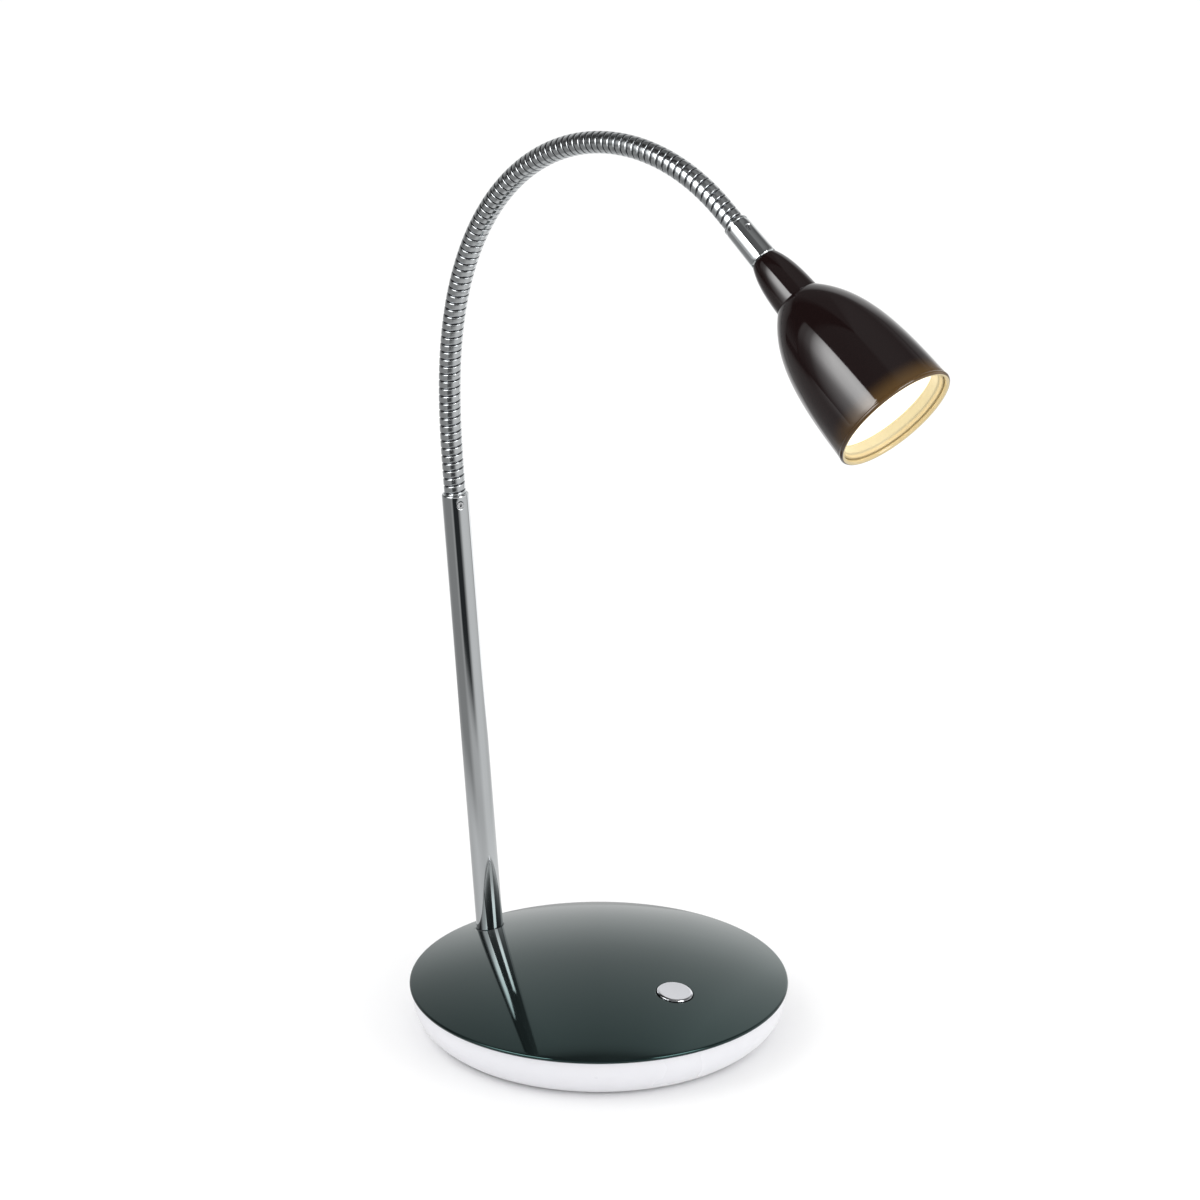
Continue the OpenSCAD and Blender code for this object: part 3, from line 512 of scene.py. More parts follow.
class Finish(Graph):
    """One material: a Principled BSDF, Object coordinates and the nodes between them."""

    def __init__(self, name, **sockets):
        self.material = bpy.data.materials.new(name)
        self.material.use_nodes = True
        super().__init__(self.material.node_tree)
        self.shader = self.tree.nodes["Principled BSDF"]
        self.coordinates = self.tree.nodes.new("ShaderNodeTexCoord").outputs["Object"]
        for socket, value in sockets.items():
            self.shader.inputs[socket.replace("_", " ")].default_value = value

    def effect(self, group, vector=None, **values):
        """A shared effect with this material's own values."""
        node = self.add("ShaderNodeGroup", node_tree=group)
        self.join(vector or self.coordinates, node.inputs["Vector"])
        for socket, value in values.items():
            node.inputs[socket.replace("_", " ")].default_value = value
        return node

    def in_place(self, place):
        """Object coordinates turned and centred on a place."""
        return self.placed(self.coordinates, place)

    def from_axis(self, place):
        """Distance from the axis of a place."""
        x, y, _ = self.split(self.in_place(place))
        return self.length_of(x, y)

    def coat(self):
        """The colour that the shader has so far."""
        return self.shader.inputs["Base Color"].links[0].from_socket

    def recoat(self, colour):
        """Gives the shader another colour."""
        self.join(colour, self.shader.inputs["Base Color"])

    def bump(self, height, strength, distance):
        """Relief from a height, on the way to the shader's normal."""
        node = self.add("ShaderNodeBump")
        node.inputs["Strength"].default_value = strength
        node.inputs["Distance"].default_value = distance
        self.join(height, node.inputs["Height"])
        linked = self.shader.inputs["Normal"].links
        if linked:
            self.join(linked[0].from_socket, node.inputs["Normal"])
        self.join(node.outputs["Normal"], self.shader.inputs["Normal"])

    def lathe_lines(self, place, scale, depth):
        """Relief of fine turned lines round the axis of a place."""
        lines = self.effect(
            shared_group("Lathe Lines", turning_group), vector=self.in_place(place), Line_Scale=scale
        )
        self.bump(lines.outputs["Height"], 1.0, depth)

    def surface(self, colour, smooth, rough, patch, grain, contrast=0.9, relief=0.0):
        """Colour, roughness and relief from the shared surface effect."""
        node = self.effect(
            shared_group("Surface Variation", surface_group), Smooth=smooth, Rough=rough,
            Patch_Scale=patch, Grain_Scale=grain, Light_Tone=opaque(colour),
            Dark_Tone=opaque([channel * contrast for channel in colour]),
        )
        self.recoat(node.outputs["Color"])
        self.join(node.outputs["Roughness"], self.shader.inputs["Roughness"])
        if relief:
            self.bump(node.outputs["Height"], 1.0, relief)


def opaque(colour):
    """A colour with a full alpha."""
    return (colour[0], colour[1], colour[2], 1.0)


def black_gloss(name, colour):
    """High gloss paint with the faint orange peel of a sprayed coat."""
    finish = Finish(name, IOR=1.5)
    finish.surface(colour, smooth=0.035, rough=0.075, patch=14, grain=420, contrast=0.7, relief=0.4e-6)
    return finish


def shade_paint(colours, sizes):
    """Black paint with a painted glow near the lip on one side, in place of the diffuser's light shining through, and
    a cream coat on the inner side of the lip.
    """
    finish = black_gloss("Shade Paint", colours.shade)
    x, y, z = finish.split(finish.in_place(HEAD))
    # Painted glow: towards the lip, and more on the shade's +Y side, the paint turns to the glow colour, standing in
    # for the diffuser's light
    glow_near_lip = finish.fade(z, SHADE_END - 9 * MM, SHADE_END - 0.5 * MM)
    front = finish.fade(y, -sizes.mouth_radius, sizes.mouth_radius * 0.9)
    painted_glow = finish.blend(finish.calculate("MULTIPLY", glow_near_lip, front), finish.coat(), colours.lip_glow_paint)
    outer = finish.fade(
        finish.length_of(x, y), sizes.mouth_radius - 0.6 * MM, sizes.mouth_radius - 0.42 * MM
    )
    inner = finish.calculate("SUBTRACT", 1, outer)
    mouth = finish.fade(z, SHADE_END - 6.2 * MM, SHADE_END - 6 * MM)
    finish.recoat(finish.blend(finish.calculate("MULTIPLY", inner, mouth), painted_glow, colours.lining_edge))
    return finish.material


def pearl_white(colours):
    """Moulded white plastic with a faint pearl sheen."""
    finish = Finish("Pearl Plastic", IOR=1.48, Coat_Weight=0.35, Coat_Roughness=0.12)
    finish.surface(colours.shell, smooth=0.26, rough=0.32, patch=30, grain=2600, contrast=0.992, relief=1e-6)
    return finish.material


def chrome(name, colour, smooth, rough):
    """Polished chrome with faint handling marks."""
    finish = Finish(name, Metallic=1.0)
    finish.surface(colour, smooth=smooth, rough=rough, patch=45, grain=1500, contrast=0.93, relief=0.15e-6)
    return finish


def wound_chrome(colours):
    """Chrome strip with painted shade: deeper parts of the strip, by the groove attribute of the wound pieces, take
    the darker groove colour.
    """
    finish = chrome("Wound Chrome", colours.chrome, 0.15, 0.23)
    depth = finish.add("ShaderNodeAttribute", attribute_name="groove")
    # Painted shade: darker towards the bottom of each groove and down the band's flanks, which also damps their glints
    dark = finish.fade(depth.outputs["Fac"], 0.05, 0.5)
    finish.recoat(finish.blend(dark, finish.coat(), colours.groove))
    return finish.material


def satin_button(colours, sizes):
    """Satin top with circular brush lines inside a bright chamfer."""
    finish = Finish("Satin Button", Metallic=1.0)
    finish.surface(colours.button, smooth=0.30, rough=0.38, patch=90, grain=2500, contrast=0.95)
    finish.lathe_lines(BUTTON, 9000, 4e-6)
    rim = finish.fade(
        finish.from_axis(BUTTON), sizes.radius - sizes.chamfer * 1.15, sizes.radius - sizes.chamfer * 0.95
    )
    polish = finish.add("ShaderNodeMapRange")
    polish.inputs["To Min"].default_value = 0.34
    polish.inputs["To Max"].default_value = 0.10
    finish.join(rim, polish.inputs["Value"])
    finish.join(polish.outputs["Result"], finish.shader.inputs["Roughness"])
    return finish.material


def lit_lining(colours):
    """Cream lining, a little deeper in colour towards the lip."""
    finish = Finish("Cream Lining", IOR=1.46)
    finish.surface(colours.lining, smooth=0.30, rough=0.42, patch=60, grain=1800, contrast=0.95, relief=1e-6)
    _, _, z = finish.split(finish.in_place(HEAD))
    lip = finish.fade(z, SHADE_END - 3.4 * MM, SHADE_END - 2.2 * MM)
    finish.recoat(finish.blend(lip, finish.coat(), colours.lining_edge))
    return finish.material


def glowing_diffuser(colours):
    """Opal plastic that is lit from behind, brightest in the middle."""
    finish = Finish("Opal Diffuser", IOR=1.49, Emission_Strength=colours.glow_strength)
    finish.surface((0.9, 0.89, 0.85), smooth=0.42, rough=0.5, patch=50, grain=3000, contrast=0.98, relief=1e-6)
    rim = finish.fade(finish.from_axis(HEAD), 12 * MM, 23 * MM)
    edge = [channel * 0.8 for channel in colours.glow]
    finish.join(finish.blend(rim, colours.glow, edge), finish.shader.inputs["Emission Color"])
    return finish.material


def circuit_board(name, colour):
    """Solder resist with paler copper tracks under it."""
    finish = Finish(name, IOR=1.5, Coat_Weight=0.4, Coat_Roughness=0.15)
    finish.surface(colour, smooth=0.28, rough=0.36, patch=120, grain=2500, contrast=0.9)
    tracks = finish.add("ShaderNodeTexBrick", offset=0.5)
    tracks.inputs["Scale"].default_value = 160
    tracks.inputs["Mortar Size"].default_value = 0.06
    finish.join(finish.coordinates, tracks.inputs["Vector"])
    copper = [min(1.0, channel * 1.9 + 0.02) for channel in colour]
    finish.recoat(finish.blend(tracks.outputs["Fac"], finish.coat(), copper))
    finish.bump(tracks.outputs["Fac"], 0.6, 35e-6)
    return finish.material


def cast_ballast(name, colour):
    """Oiled cast disc with a sandy skin."""
    finish = Finish(name, Metallic=0.85)
    finish.surface(colour, smooth=0.42, rough=0.62, patch=70, grain=900, contrast=0.6, relief=60e-6)
    return finish.material


def lathe_turned(name, colour, metallic, smooth, rough, place):
    """Metal with fine lathe lines round the axis of the piece."""
    finish = Finish(name, Metallic=metallic)
    finish.surface(colour, smooth=smooth, rough=rough, patch=80, grain=1500, contrast=0.88)
    finish.lathe_lines(place, 5000, 6e-6)
    return finish.material


def simple_finish(name, colour, metallic, smooth, rough, grain, contrast, relief):
    """A plain maker's finish: two tones, wandering gloss and a fine grain."""
    finish = Finish(name, Metallic=metallic)
    finish.surface(colour, smooth, rough, patch=grain / 16, grain=grain, contrast=contrast, relief=relief)
    return finish.material


# Slot: metallic, smoothest, roughest, grain scale, darker tone, relief in metres
PLAIN_FINISHES = {
    "plated_steel": (1.0, 0.22, 0.36, 1400, 0.82, 1.5e-6),
    "foot_rubber": (0.0, 0.72, 0.86, 2600, 0.8, 12e-6),
    "nylon": (0.0, 0.40, 0.52, 1800, 0.94, 3e-6),
    "spring_steel": (1.0, 0.18, 0.30, 2600, 0.85, 1e-6),
    "switch_black": (0.0, 0.42, 0.55, 2600, 0.8, 6e-6),
    "winding_tape": (0.0, 0.25, 0.38, 900, 0.9, 8e-6),
    "capacitor_sleeve": (0.0, 0.24, 0.34, 1200, 0.85, 2e-6),
    "terminal_green": (0.0, 0.38, 0.50, 2200, 0.88, 4e-6),
    "lead_jacket": (0.0, 0.45, 0.58, 1600, 0.93, 3e-6),
    "board_white": (0.0, 0.30, 0.42, 1600, 0.96, 2e-6),
    "reflector_white": (0.0, 0.32, 0.44, 1500, 0.97, 2e-6),
    "chip_phosphor": (0.0, 0.35, 0.50, 2400, 0.92, 3e-6),
}


def all_materials(scene):
    """Every material by its slot."""
    colours = scene.lamp_colours
    made = {slot: simple_finish(slot, COLOURS[slot], *values) for slot, values in PLAIN_FINISHES.items()}
    cover = black_gloss("Cover Paint", colours.cover)
    cover.shader.inputs["Specular Tint"].default_value = opaque(colours.cover_mirror)
    made["black_gloss"] = cover.material
    made["shade_black"] = shade_paint(colours, scene.lamp_head)
    made["pearl_white"] = pearl_white(colours)
    made["stem_chrome"] = chrome("Stem Chrome", colours.chrome, 0.035, 0.075).material
    made["neck_chrome"] = wound_chrome(colours)
    made["button_silver"] = satin_button(colours, scene.lamp_button)
    made["lining_cream"] = lit_lining(colours)
    made["diffuser_opal"] = glowing_diffuser(colours)
    made["board_green"] = circuit_board("Driver Board", COLOURS["board_green"])
    made["ballast_steel"] = cast_ballast("Ballast Casting", COLOURS["ballast_steel"])
    made["nipple_brass"] = lathe_turned("Turned Brass", COLOURS["nipple_brass"], 1.0, 0.2, 0.32, STEM)
    made["sink_aluminium"] = lathe_turned("Sink Aluminium", COLOURS["sink_aluminium"], 1.0, 0.3, 0.45, HEAD)
    return made


def material_of(slot):
    """The material that a slot was given."""
    return bpy.data.materials[bpy.context.scene["lamp_materials"][slot]]


# ---- Operators ----


class LAMP_OT_camera(Operator):
    """Set up the camera"""

    bl_idname = "desk_lamp.camera"
    bl_label = "Camera"

    def execute(self, context):
        studio = context.scene.lamp_studio
        data = bpy.data.cameras.new("Camera")
        data.lens = studio.lens
        data.clip_end = 50
        camera = bpy.data.objects.new("Camera", data)
        camera.location = studio.camera_place
        gaze = Vector(studio.camera_target) - Vector(studio.camera_place)
        camera.rotation_euler = gaze.to_track_quat("-Z", "Y").to_euler()
        context.scene.collection.objects.link(camera)
        context.scene.camera = camera
        return {"FINISHED"}


class LAMP_OT_materials(Operator):
    """Mix the materials and give them to the CAD nodes that stay"""

    bl_idname = "desk_lamp.materials"
    bl_label = "Materials"

    def execute(self, context):
        made = all_materials(context.scene)
        context.scene["lamp_materials"] = {slot: material.name for slot, material in made.items()}
        for node, carried in frame["nodes"].items():
            carried.data.materials.clear()
            carried.data.materials.append(made[SLOTS[node]])
        return {"FINISHED"}


class LAMP_OT_cover(Operator):
    """Turn the domed cover plate and cut the holes for the stem and the button"""

    bl_idname = "desk_lamp.cover"
    bl_label = "Cover Plate"

    def execute(self, context):
        base, button, stem = context.scene.lamp_base, context.scene.lamp_button, context.scene.lamp_stem
        edge = base.edge_thickness / 2
        rim = base.cover_radius - edge
        drop = COVER_TOP - SEAM - edge
        # The dome is a sphere that runs smoothly into the round edge
        dome = (rim**2 + drop**2 - edge**2) / (2 * (drop - edge))
        dome_centre = COVER_TOP - dome
        lean = math.asin(rim / (dome - edge))
        top = [(math.sin(a) * dome, dome_centre + math.cos(a) * dome) for a in steps_between(0, lean, 72)]
        round_edge = [
            (rim + math.sin(a) * edge, SEAM + edge + math.cos(a) * edge) for a in steps_between(lean, math.pi, 12)
        ]
        lip = shell_profile(base, SEAM - base.lip_depth) - base.shell_wall - 0.1 * MM
        inner = dome - base.cover_wall
        turn_in = math.asin((lip - base.lip_wall) / inner)
        under = [(math.sin(a) * inner, dome_centre + math.cos(a) * inner) for a in steps_between(turn_in, 0, 24)]
        foot = [(lip, SEAM), (lip, SEAM - base.lip_depth), (lip - base.lip_wall, SEAM - base.lip_depth)]
        plate = turned(plain(top + round_edge[1:] + foot + under), steps=256, closed=False)
        drill_length = 30 * MM
        stem_hole = moved(rod(stem.radius + stem.foot_gap, 0, drill_length, steps=64), STEM)
        surface = reach_of_dome(dome, dome_centre, BUTTON)
        bore, soft, depth = button.radius + button.gap, 0.25 * MM, 8 * MM
        button_hole = moved(turned(plain([
            (0, surface - depth), (bore, surface - depth), (bore, surface - soft),
            (bore + 2 * soft, surface + soft), (0, surface + soft),
        ]), steps=96, closed=False), BUTTON)
        plate = carved(plate, stem_hole, button_hole)
        add_piece("cover_plate", plate, "black_gloss", "base_cover", "base")
        return {"FINISHED"}


def reach_of_dome(dome, dome_centre, place):
    """Height of the dome's surface along an axis that is square to it."""
    return dome - (place.translation - Vector((0, 0, dome_centre))).length


def shell_profile(base, height):
    """Outside radius of the shell at a height."""
    return base.shell_radius - base.shell_tuck * ((SEAM - height) / (SEAM - SHELL_FOOT)) ** base.shell_curve


class LAMP_OT_shell(Operator):
    """Turn the white shell and cut the cable inlet in its back"""

    bl_idname = "desk_lamp.shell"
    bl_label = "Shell"

    def execute(self, context):
        base = context.scene.lamp_base
        wall, soft = base.shell_wall, 0.5 * MM
        flange_top = base.flange_foot + base.flange_thickness
        outside = [(shell_profile(base, z), z, 0) for z in steps_between(SHELL_FOOT, SEAM, 40)]
        inside = [(shell_profile(base, z) - wall, z, 0) for z in steps_between(SEAM, flange_top, 16)]
        outside[0] = rounded(outside[0], 0.28 * MM)
        outside[-1] = rounded(outside[-1], 0.2 * MM)
        flange = [
            (base.flange_radius, flange_top, soft), (base.flange_radius, base.flange_foot, soft),
            (base.floor_radius, base.flange_foot, 0), (base.floor_radius, SHELL_FOOT, 0),
        ]
        bm = turned(outside + inside + flange, steps=224)
        low, high = reach("cable_bush", INLET)
        rim_seat = high - base.bush_rim
        grip_seat = low + base.bush_grip_thickness
        rim_radius = girth("cable_bush", INLET)
        boss = moved(rod(rim_radius + 0.1 * MM, grip_seat, rim_seat - wall / 2, steps=64), INLET)
        bm = carved(bm, boss, operation="UNION")
        beyond = 6 * MM
        hole = moved(rod(base.inlet_radius, low - beyond, high + beyond, steps=64), INLET)
        outer_recess = moved(rod(rim_radius + 0.4 * MM, rim_seat, high + beyond, steps=64), INLET)
        inner_recess = moved(rod(base.bush_grip + 0.3 * MM, low - 3 * MM, grip_seat, steps=64), INLET)
        bm = carved(bm, hole, outer_recess, inner_recess)
        add_piece("shell", bm, "pearl_white", "base_shell", "base")
        return {"FINISHED"}


class LAMP_OT_bush(Operator):
    """Turn the rubber bush that the cable goes through"""

    bl_idname = "desk_lamp.bush"
    bl_label = "Cable Bush"

    def execute(self, context):
        base = context.scene.lamp_base
        low, high = reach("cable_bush", INLET)
        rim_radius = girth("cable_bush", INLET)
        neck = base.inlet_radius - 0.1 * MM
        grip_seat = low + base.bush_grip_thickness
        rim_seat = high - base.bush_rim
        bm = turned([
            (base.bush_bore, low, 0.25 * MM), (base.bush_grip, low, 0.3 * MM), (base.bush_grip, grip_seat, 0.2 * MM),
            (neck, grip_seat, 0), (neck, rim_seat, 0), (rim_radius, rim_seat, 0.2 * MM),
            (rim_radius, high, 0.55 * MM), (base.bush_bore, high, 0.45 * MM),
        ], steps=72)
        add_piece("cable_grommet", moved(bm, INLET), "foot_rubber", "cable_bush", "base")
        return {"FINISHED"}


class LAMP_OT_button(Operator):
    """Turn the push button and wind its return spring"""

    bl_idname = "desk_lamp.button"
    bl_label = "Push Button"

    def execute(self, context):
        sizes = context.scene.lamp_button
        low, high = reach("push_button", BUTTON)
        flange_top = low + 1.2 * MM
        socket = sizes.coil_radius + 0.9 * MM
        bore = sizes.radius - sizes.wall
        crown = high - sizes.wall - 0.4 * MM
        dish = [
            (radius, high - sizes.dish * (1 - (radius / sizes.radius) ** 2), 0)
            for radius in steps_between(0, sizes.radius - sizes.chamfer, 12)
        ]
        side = [
            (sizes.radius, high - sizes.chamfer, 0.06 * MM), (sizes.radius, flange_top, 0.2 * MM),
            (sizes.radius + sizes.flange, flange_top, 0.2 * MM), (sizes.radius + sizes.flange, low, 0.2 * MM),
            (bore, low, 0), (bore, crown, 0.3 * MM), (socket, crown, 0), (socket, low, 0), (0, low, 0),
        ]
        bm = turned(dish + side, steps=96, closed=False)
        add_piece("button_cap", moved(bm, BUTTON), "button_silver", "push_button", "button")
        self.wind_spring(sizes)
        return {"FINISHED"}

    def wind_spring(self, sizes):
        """Winds a round wire round the button's axis and gives the spring a mesh of its own."""
        low, high = reach("button_spring", BUTTON)
        steps = 24
        rise = high - low - 2 * sizes.wire_radius
        bm = bmesh.new()
        wire = bmesh.ops.create_circle(bm, segments=10, radius=sizes.wire_radius)["verts"]
        bmesh.ops.rotate(bm, verts=wire, cent=(0, 0, 0), matrix=Matrix.Rotation(math.pi / 2, 3, "X"))
        bmesh.ops.translate(bm, verts=wire, vec=(sizes.coil_radius, 0, low + sizes.wire_radius))
        turns = sizes.coil_turns
        bmesh.ops.spin(
            bm, geom=bm.verts[:] + bm.edges[:], cent=(0, 0, 0), axis=(0, 0, 1),
            dvec=(0, 0, rise / (turns * steps)), angle=FULL_TURN * turns, steps=turns * steps,
        )
        bmesh.ops.holes_fill(bm, edges=[edge for edge in bm.edges if edge.is_boundary])
        bmesh.ops.recalc_face_normals(bm, faces=bm.faces[:])
        spring = add_piece("return_spring", moved(bm, BUTTON), "spring_steel", "button_spring", "base")
        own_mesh(spring)


class LAMP_OT_stem(Operator):
    """Turn the stem tube with its rolled top and drill the grub screw's hole"""

    bl_idname = "desk_lamp.stem"
    bl_label = "Stem"

    def execute(self, context):
        sizes = context.scene.lamp_stem
        inner = sizes.radius - sizes.wall
        top = [
            (sizes.radius, STEM_TOP - 0.8 * MM, 0), (sizes.radius - 0.12 * MM, STEM_TOP - 0.32 * MM, 0.1 * MM),
            (sizes.radius - 0.42 * MM, STEM_TOP, 0.16 * MM), (inner, STEM_TOP, 0.2 * MM),
        ]
        bm = turned([(inner, STEM_FOOT, 0), (sizes.radius, STEM_FOOT, 0)] + top, steps=96)
        screw = centre("stem_grub_screw")
        heart = STEM @ Vector((0, 0, (STEM.inverted() @ screw).z))
        drill = place_along(heart, screw - heart)
        bm = carved(moved(bm, STEM), moved(countersunk_drill(sizes.grub_radius, sizes.radius), drill))
        add_piece("stem", bm, "stem_chrome", "stem_tube", "base")
        return {"FINISHED"}


def countersunk_drill(radius, surface):
    """A drill that leaves a hole with a small countersink in a round wall."""
    sink = 0.28 * MM
    return turned(plain([
        (0, 0), (radius, 0), (radius, surface - 1.6 * sink), (radius + 2 * sink, surface + 0.4 * sink),
        (0, surface + 0.4 * sink),
    ]), steps=40, closed=False)


# ---- The neck ----


def heading(link):
    """Direction of a link of the neck: 0 stands in the stem and the last one carries the head."""
    if link == 0:
        return STEM.to_3x3() @ Vector((0, 0, 1))
    if link == len(HINGES):
        return HEAD.to_3x3() @ Vector((0, 0, 1))
    return (HINGES[link] - HINGES[link - 1]).normalized()


def middle_of(link):
    """Place in the middle of a link, with +Z along it."""
    way = heading(link)
    if link == 0:
        return place_along(HINGES[0] - way * LINK_LENGTH / 2, way)
    return place_along(HINGES[link - 1] + way * LINK_LENGTH / 2, way)


def arcs_of(link):
    """Length and radius of the arc from the middle of a link to its lower hinge, and of the one to its upper."""
    straight = (0.0, LINK_LENGTH)
    arcs = []
    for hinge in (link - 1, link):
        if 0 <= hinge < len(HINGES):
            bend = heading(hinge).angle(heading(hinge + 1))
            radius = LINK_LENGTH / 2 / math.tan(bend / 2)
            arcs.append((radius * bend / 2, radius))
        else:
            arcs.append(straight)
    return arcs


def strip_outline(sizes):
    """One turn of the wound strip, its heights as shares of the pitch: a filler wire, then the crowned band."""
    groove = sizes.radius - sizes.groove_depth
    wire_end, band_middle, band_half = 0.14, 0.57, 0.43
    shoulder = groove + sizes.wire_height * 0.8
    points = [(groove, 0.0), (shoulder, 0.035), (groove + sizes.wire_height, 0.07), (shoulder, 0.105)]
    points.append((groove, wire_end))
    # The band's steps lie closer together towards its edges, where it turns down into the groove
    spread, squareness, edge_height = math.radians(80), 9, 0.04 * MM
    for angle in steps_between(-spread, spread, 12):
        across = math.sin(angle) / math.sin(spread)
        crown = (1 - abs(across) ** squareness) ** 0.5
        height = edge_height + (sizes.groove_depth - edge_height) * crown
        points.append((groove + height, band_middle + band_half * across))
    points.append((groove, 1.0))
    return [(radius, share * sizes.pitch) for radius, share in points]


def wound_strip(sizes, length):
    """A straight winding from height 0 upwards, a few turns longer than the longest stretch that is cut from it."""
    turns = math.ceil(length / sizes.pitch) + 2
    bm = bmesh.new()
    chain(bm, [(radius, height, 0) for radius, height in strip_outline(sizes)], closed=False)
    bmesh.ops.spin(
        bm, geom=bm.verts[:] + bm.edges[:], cent=(0, 0, 0), axis=(0, 0, 1),
        dvec=(0, 0, sizes.pitch / sizes.turn_steps), angle=FULL_TURN * turns, steps=turns * sizes.turn_steps,
    )
    bmesh.ops.remove_doubles(bm, verts=bm.verts[:], dist=1e-6)
    bmesh.ops.recalc_face_normals(bm, faces=bm.faces[:])
    bm.normal_update()
    if sum(face.normal.dot(Vector((*face.calc_center_median().xy, 0))) for face in bm.faces) < 0:
        bmesh.ops.reverse_faces(bm, faces=bm.faces[:])
        bm.normal_update()
    groove = bm.verts.layers.float.new("groove")
    shine = bm.verts.layers.float_vector.new("shine")
    # Each point's depth in the groove, which the chrome turns into painted shade
    for vert in bm.verts:
        vert[groove] = (sizes.radius - vert.co.xy.length) / sizes.groove_depth
        vert[shine] = vert.normal
    return loose_mesh("strip", bm)


def wound_wall(sizes, strip, low, high, wound_below):
    """A closed wall of wound strip between two heights. The winding runs on from the strip below it."""
    bm = bmesh.new()
    bm.from_mesh(strip)
    bmesh.ops.translate(bm, verts=bm.verts[:], vec=(0, 0, low - sizes.pitch - wound_below % sizes.pitch))
    for height, above in ((low, False), (high, True)):
        bmesh.ops.bisect_plane(
            bm, geom=bm.verts[:] + bm.edges[:] + bm.faces[:], dist=WELD, plane_co=(0, 0, height),
            plane_no=(0, 0, 1), clear_outer=above, clear_inner=not above,
        )
    shine = bm.verts.layers.float_vector["shine"]
    rims = [edge for edge in bm.edges if edge.is_boundary]
    grown = bmesh.ops.extrude_edge_only(bm, edges=rims)["geom"]
    for vert in grown:
        if isinstance(vert, bmesh.types.BMVert):
            vert.co.xy = vert.co.xy.normalized() * sizes.bore_radius
            vert[shine] = (0, 0, 0)
    bmesh.ops.bridge_loops(
        bm, edges=[edge for edge in grown if isinstance(edge, bmesh.types.BMEdge) and edge.is_boundary]
    )
    return bm


def add_ball(bm, sizes, height):
    """Adds the ball ring at the upper end of a stretch, painted dark with the full groove colour as painted shade. It
    closes the gap when the next stretch turns.
    """
    play = 0.05 * MM
    radius = sizes.radius - sizes.groove_depth - play
    edge = math.acos(sizes.bore_radius / radius)
    outline = [(radius * math.cos(a), height + radius * math.sin(a)) for a in steps_between(-edge, edge, 10)]
    ball = turned(plain(outline), steps=48)
    known = len(bm.verts)
    mesh = loose_mesh("ball", ball)
    bm.from_mesh(mesh)
    bpy.data.meshes.remove(mesh)
    groove = bm.verts.layers.float["groove"]
    for vert in list(bm.verts)[known:]:
        vert[groove] = 1.0


def keep_shine(piece):
    """Gives the outside of a wound piece the normals of the whole winding, so that no seam shows."""
    mesh = piece.data
    stored = mesh.attributes["shine"].data
    normals = []
    for polygon in mesh.polygons:
        outside = all(stored[index].vector.length > 0.5 for index in polygon.vertices)
        normals += [stored[index].vector.normalized() if outside else Vector() for index in polygon.vertices]
    mesh.normals_split_custom_set(normals)
    mesh.attributes.remove(mesh.attributes["shine"])


class LAMP_OT_neck(Operator):
    """Wind the chrome neck in stretches that ride on its links, and lay the lead inside"""

    bl_idname = "desk_lamp.neck"
    bl_label = "Gooseneck"

    def execute(self, context):
        sizes = context.scene.lamp_neck
        last = len(HINGES)
        tail = NECK_END - LINK_LENGTH / 2
        held_in_stem = 4 * MM
        root = LINK_LENGTH / 2 + held_in_stem
        strip = wound_strip(sizes, LINK_LENGTH + max(tail, root) + 2 * sizes.pitch)
        wound = 0.0
        for link in range(last + 1):
            below, above = (length for length, _ in arcs_of(link))
            low = -root if link == 0 else -below
            high = tail if link == last else above
            wall = wound_wall(sizes, strip, low, high, wound)
            wound += high - low
            if link < last:
                add_ball(wall, sizes, high)
            node = {0: "neck_root_link", last: "neck_end_link"}.get(link, f"neck_link_{link:02d}")
            self.lay(f"gooseneck_{link + 1:02d}", wall, link, "neck_chrome", node)
            lead_low = reach("neck_lead", middle_of(0))[0] if link == 0 else low
            lead_high = LEAD_END - LINK_LENGTH / 2 if link == last else high
            heights = steps_between(lead_low, lead_high, 8)
            outline = plain([(0, lead_low)] + [(sizes.lead_radius, z) for z in heights] + [(0, lead_high)])
            lead = turned(outline, steps=16, closed=False)
            self.lay(f"neck_lead_{link + 1:02d}", lead, link, "lead_jacket", "neck_lead")
        bpy.data.meshes.remove(strip)
        return {"FINISHED"}

    def lay(self, name, bm, link, slot, node):
        """Bends a straight stretch round the middle of its link, and lets it ride on the link's body."""
        below, above = arcs_of(link)
        place = middle_of(link)
        shine = bm.verts.layers.float_vector.get("shine")
        for vert in bm.verts:
            x, y, z = vert.co
            length, radius = above if z > 0 else below
            along = min(max(z, -length), length)
            turn, beyond, out = along / radius, z - along, radius + y
            vert.co = (
                x,
                out * math.cos(turn) - radius - beyond * math.sin(turn),
                out * math.sin(turn) + beyond * math.cos(turn),
            )
            if shine:
                vert[shine] = place.to_3x3() @ Matrix.Rotation(turn, 3, "X") @ vert[shine]
        piece = add_piece(name, moved(bm, place), slot, node, LINK_BODIES[link])
        if shine:
            keep_shine(piece)


# ---- The head ----


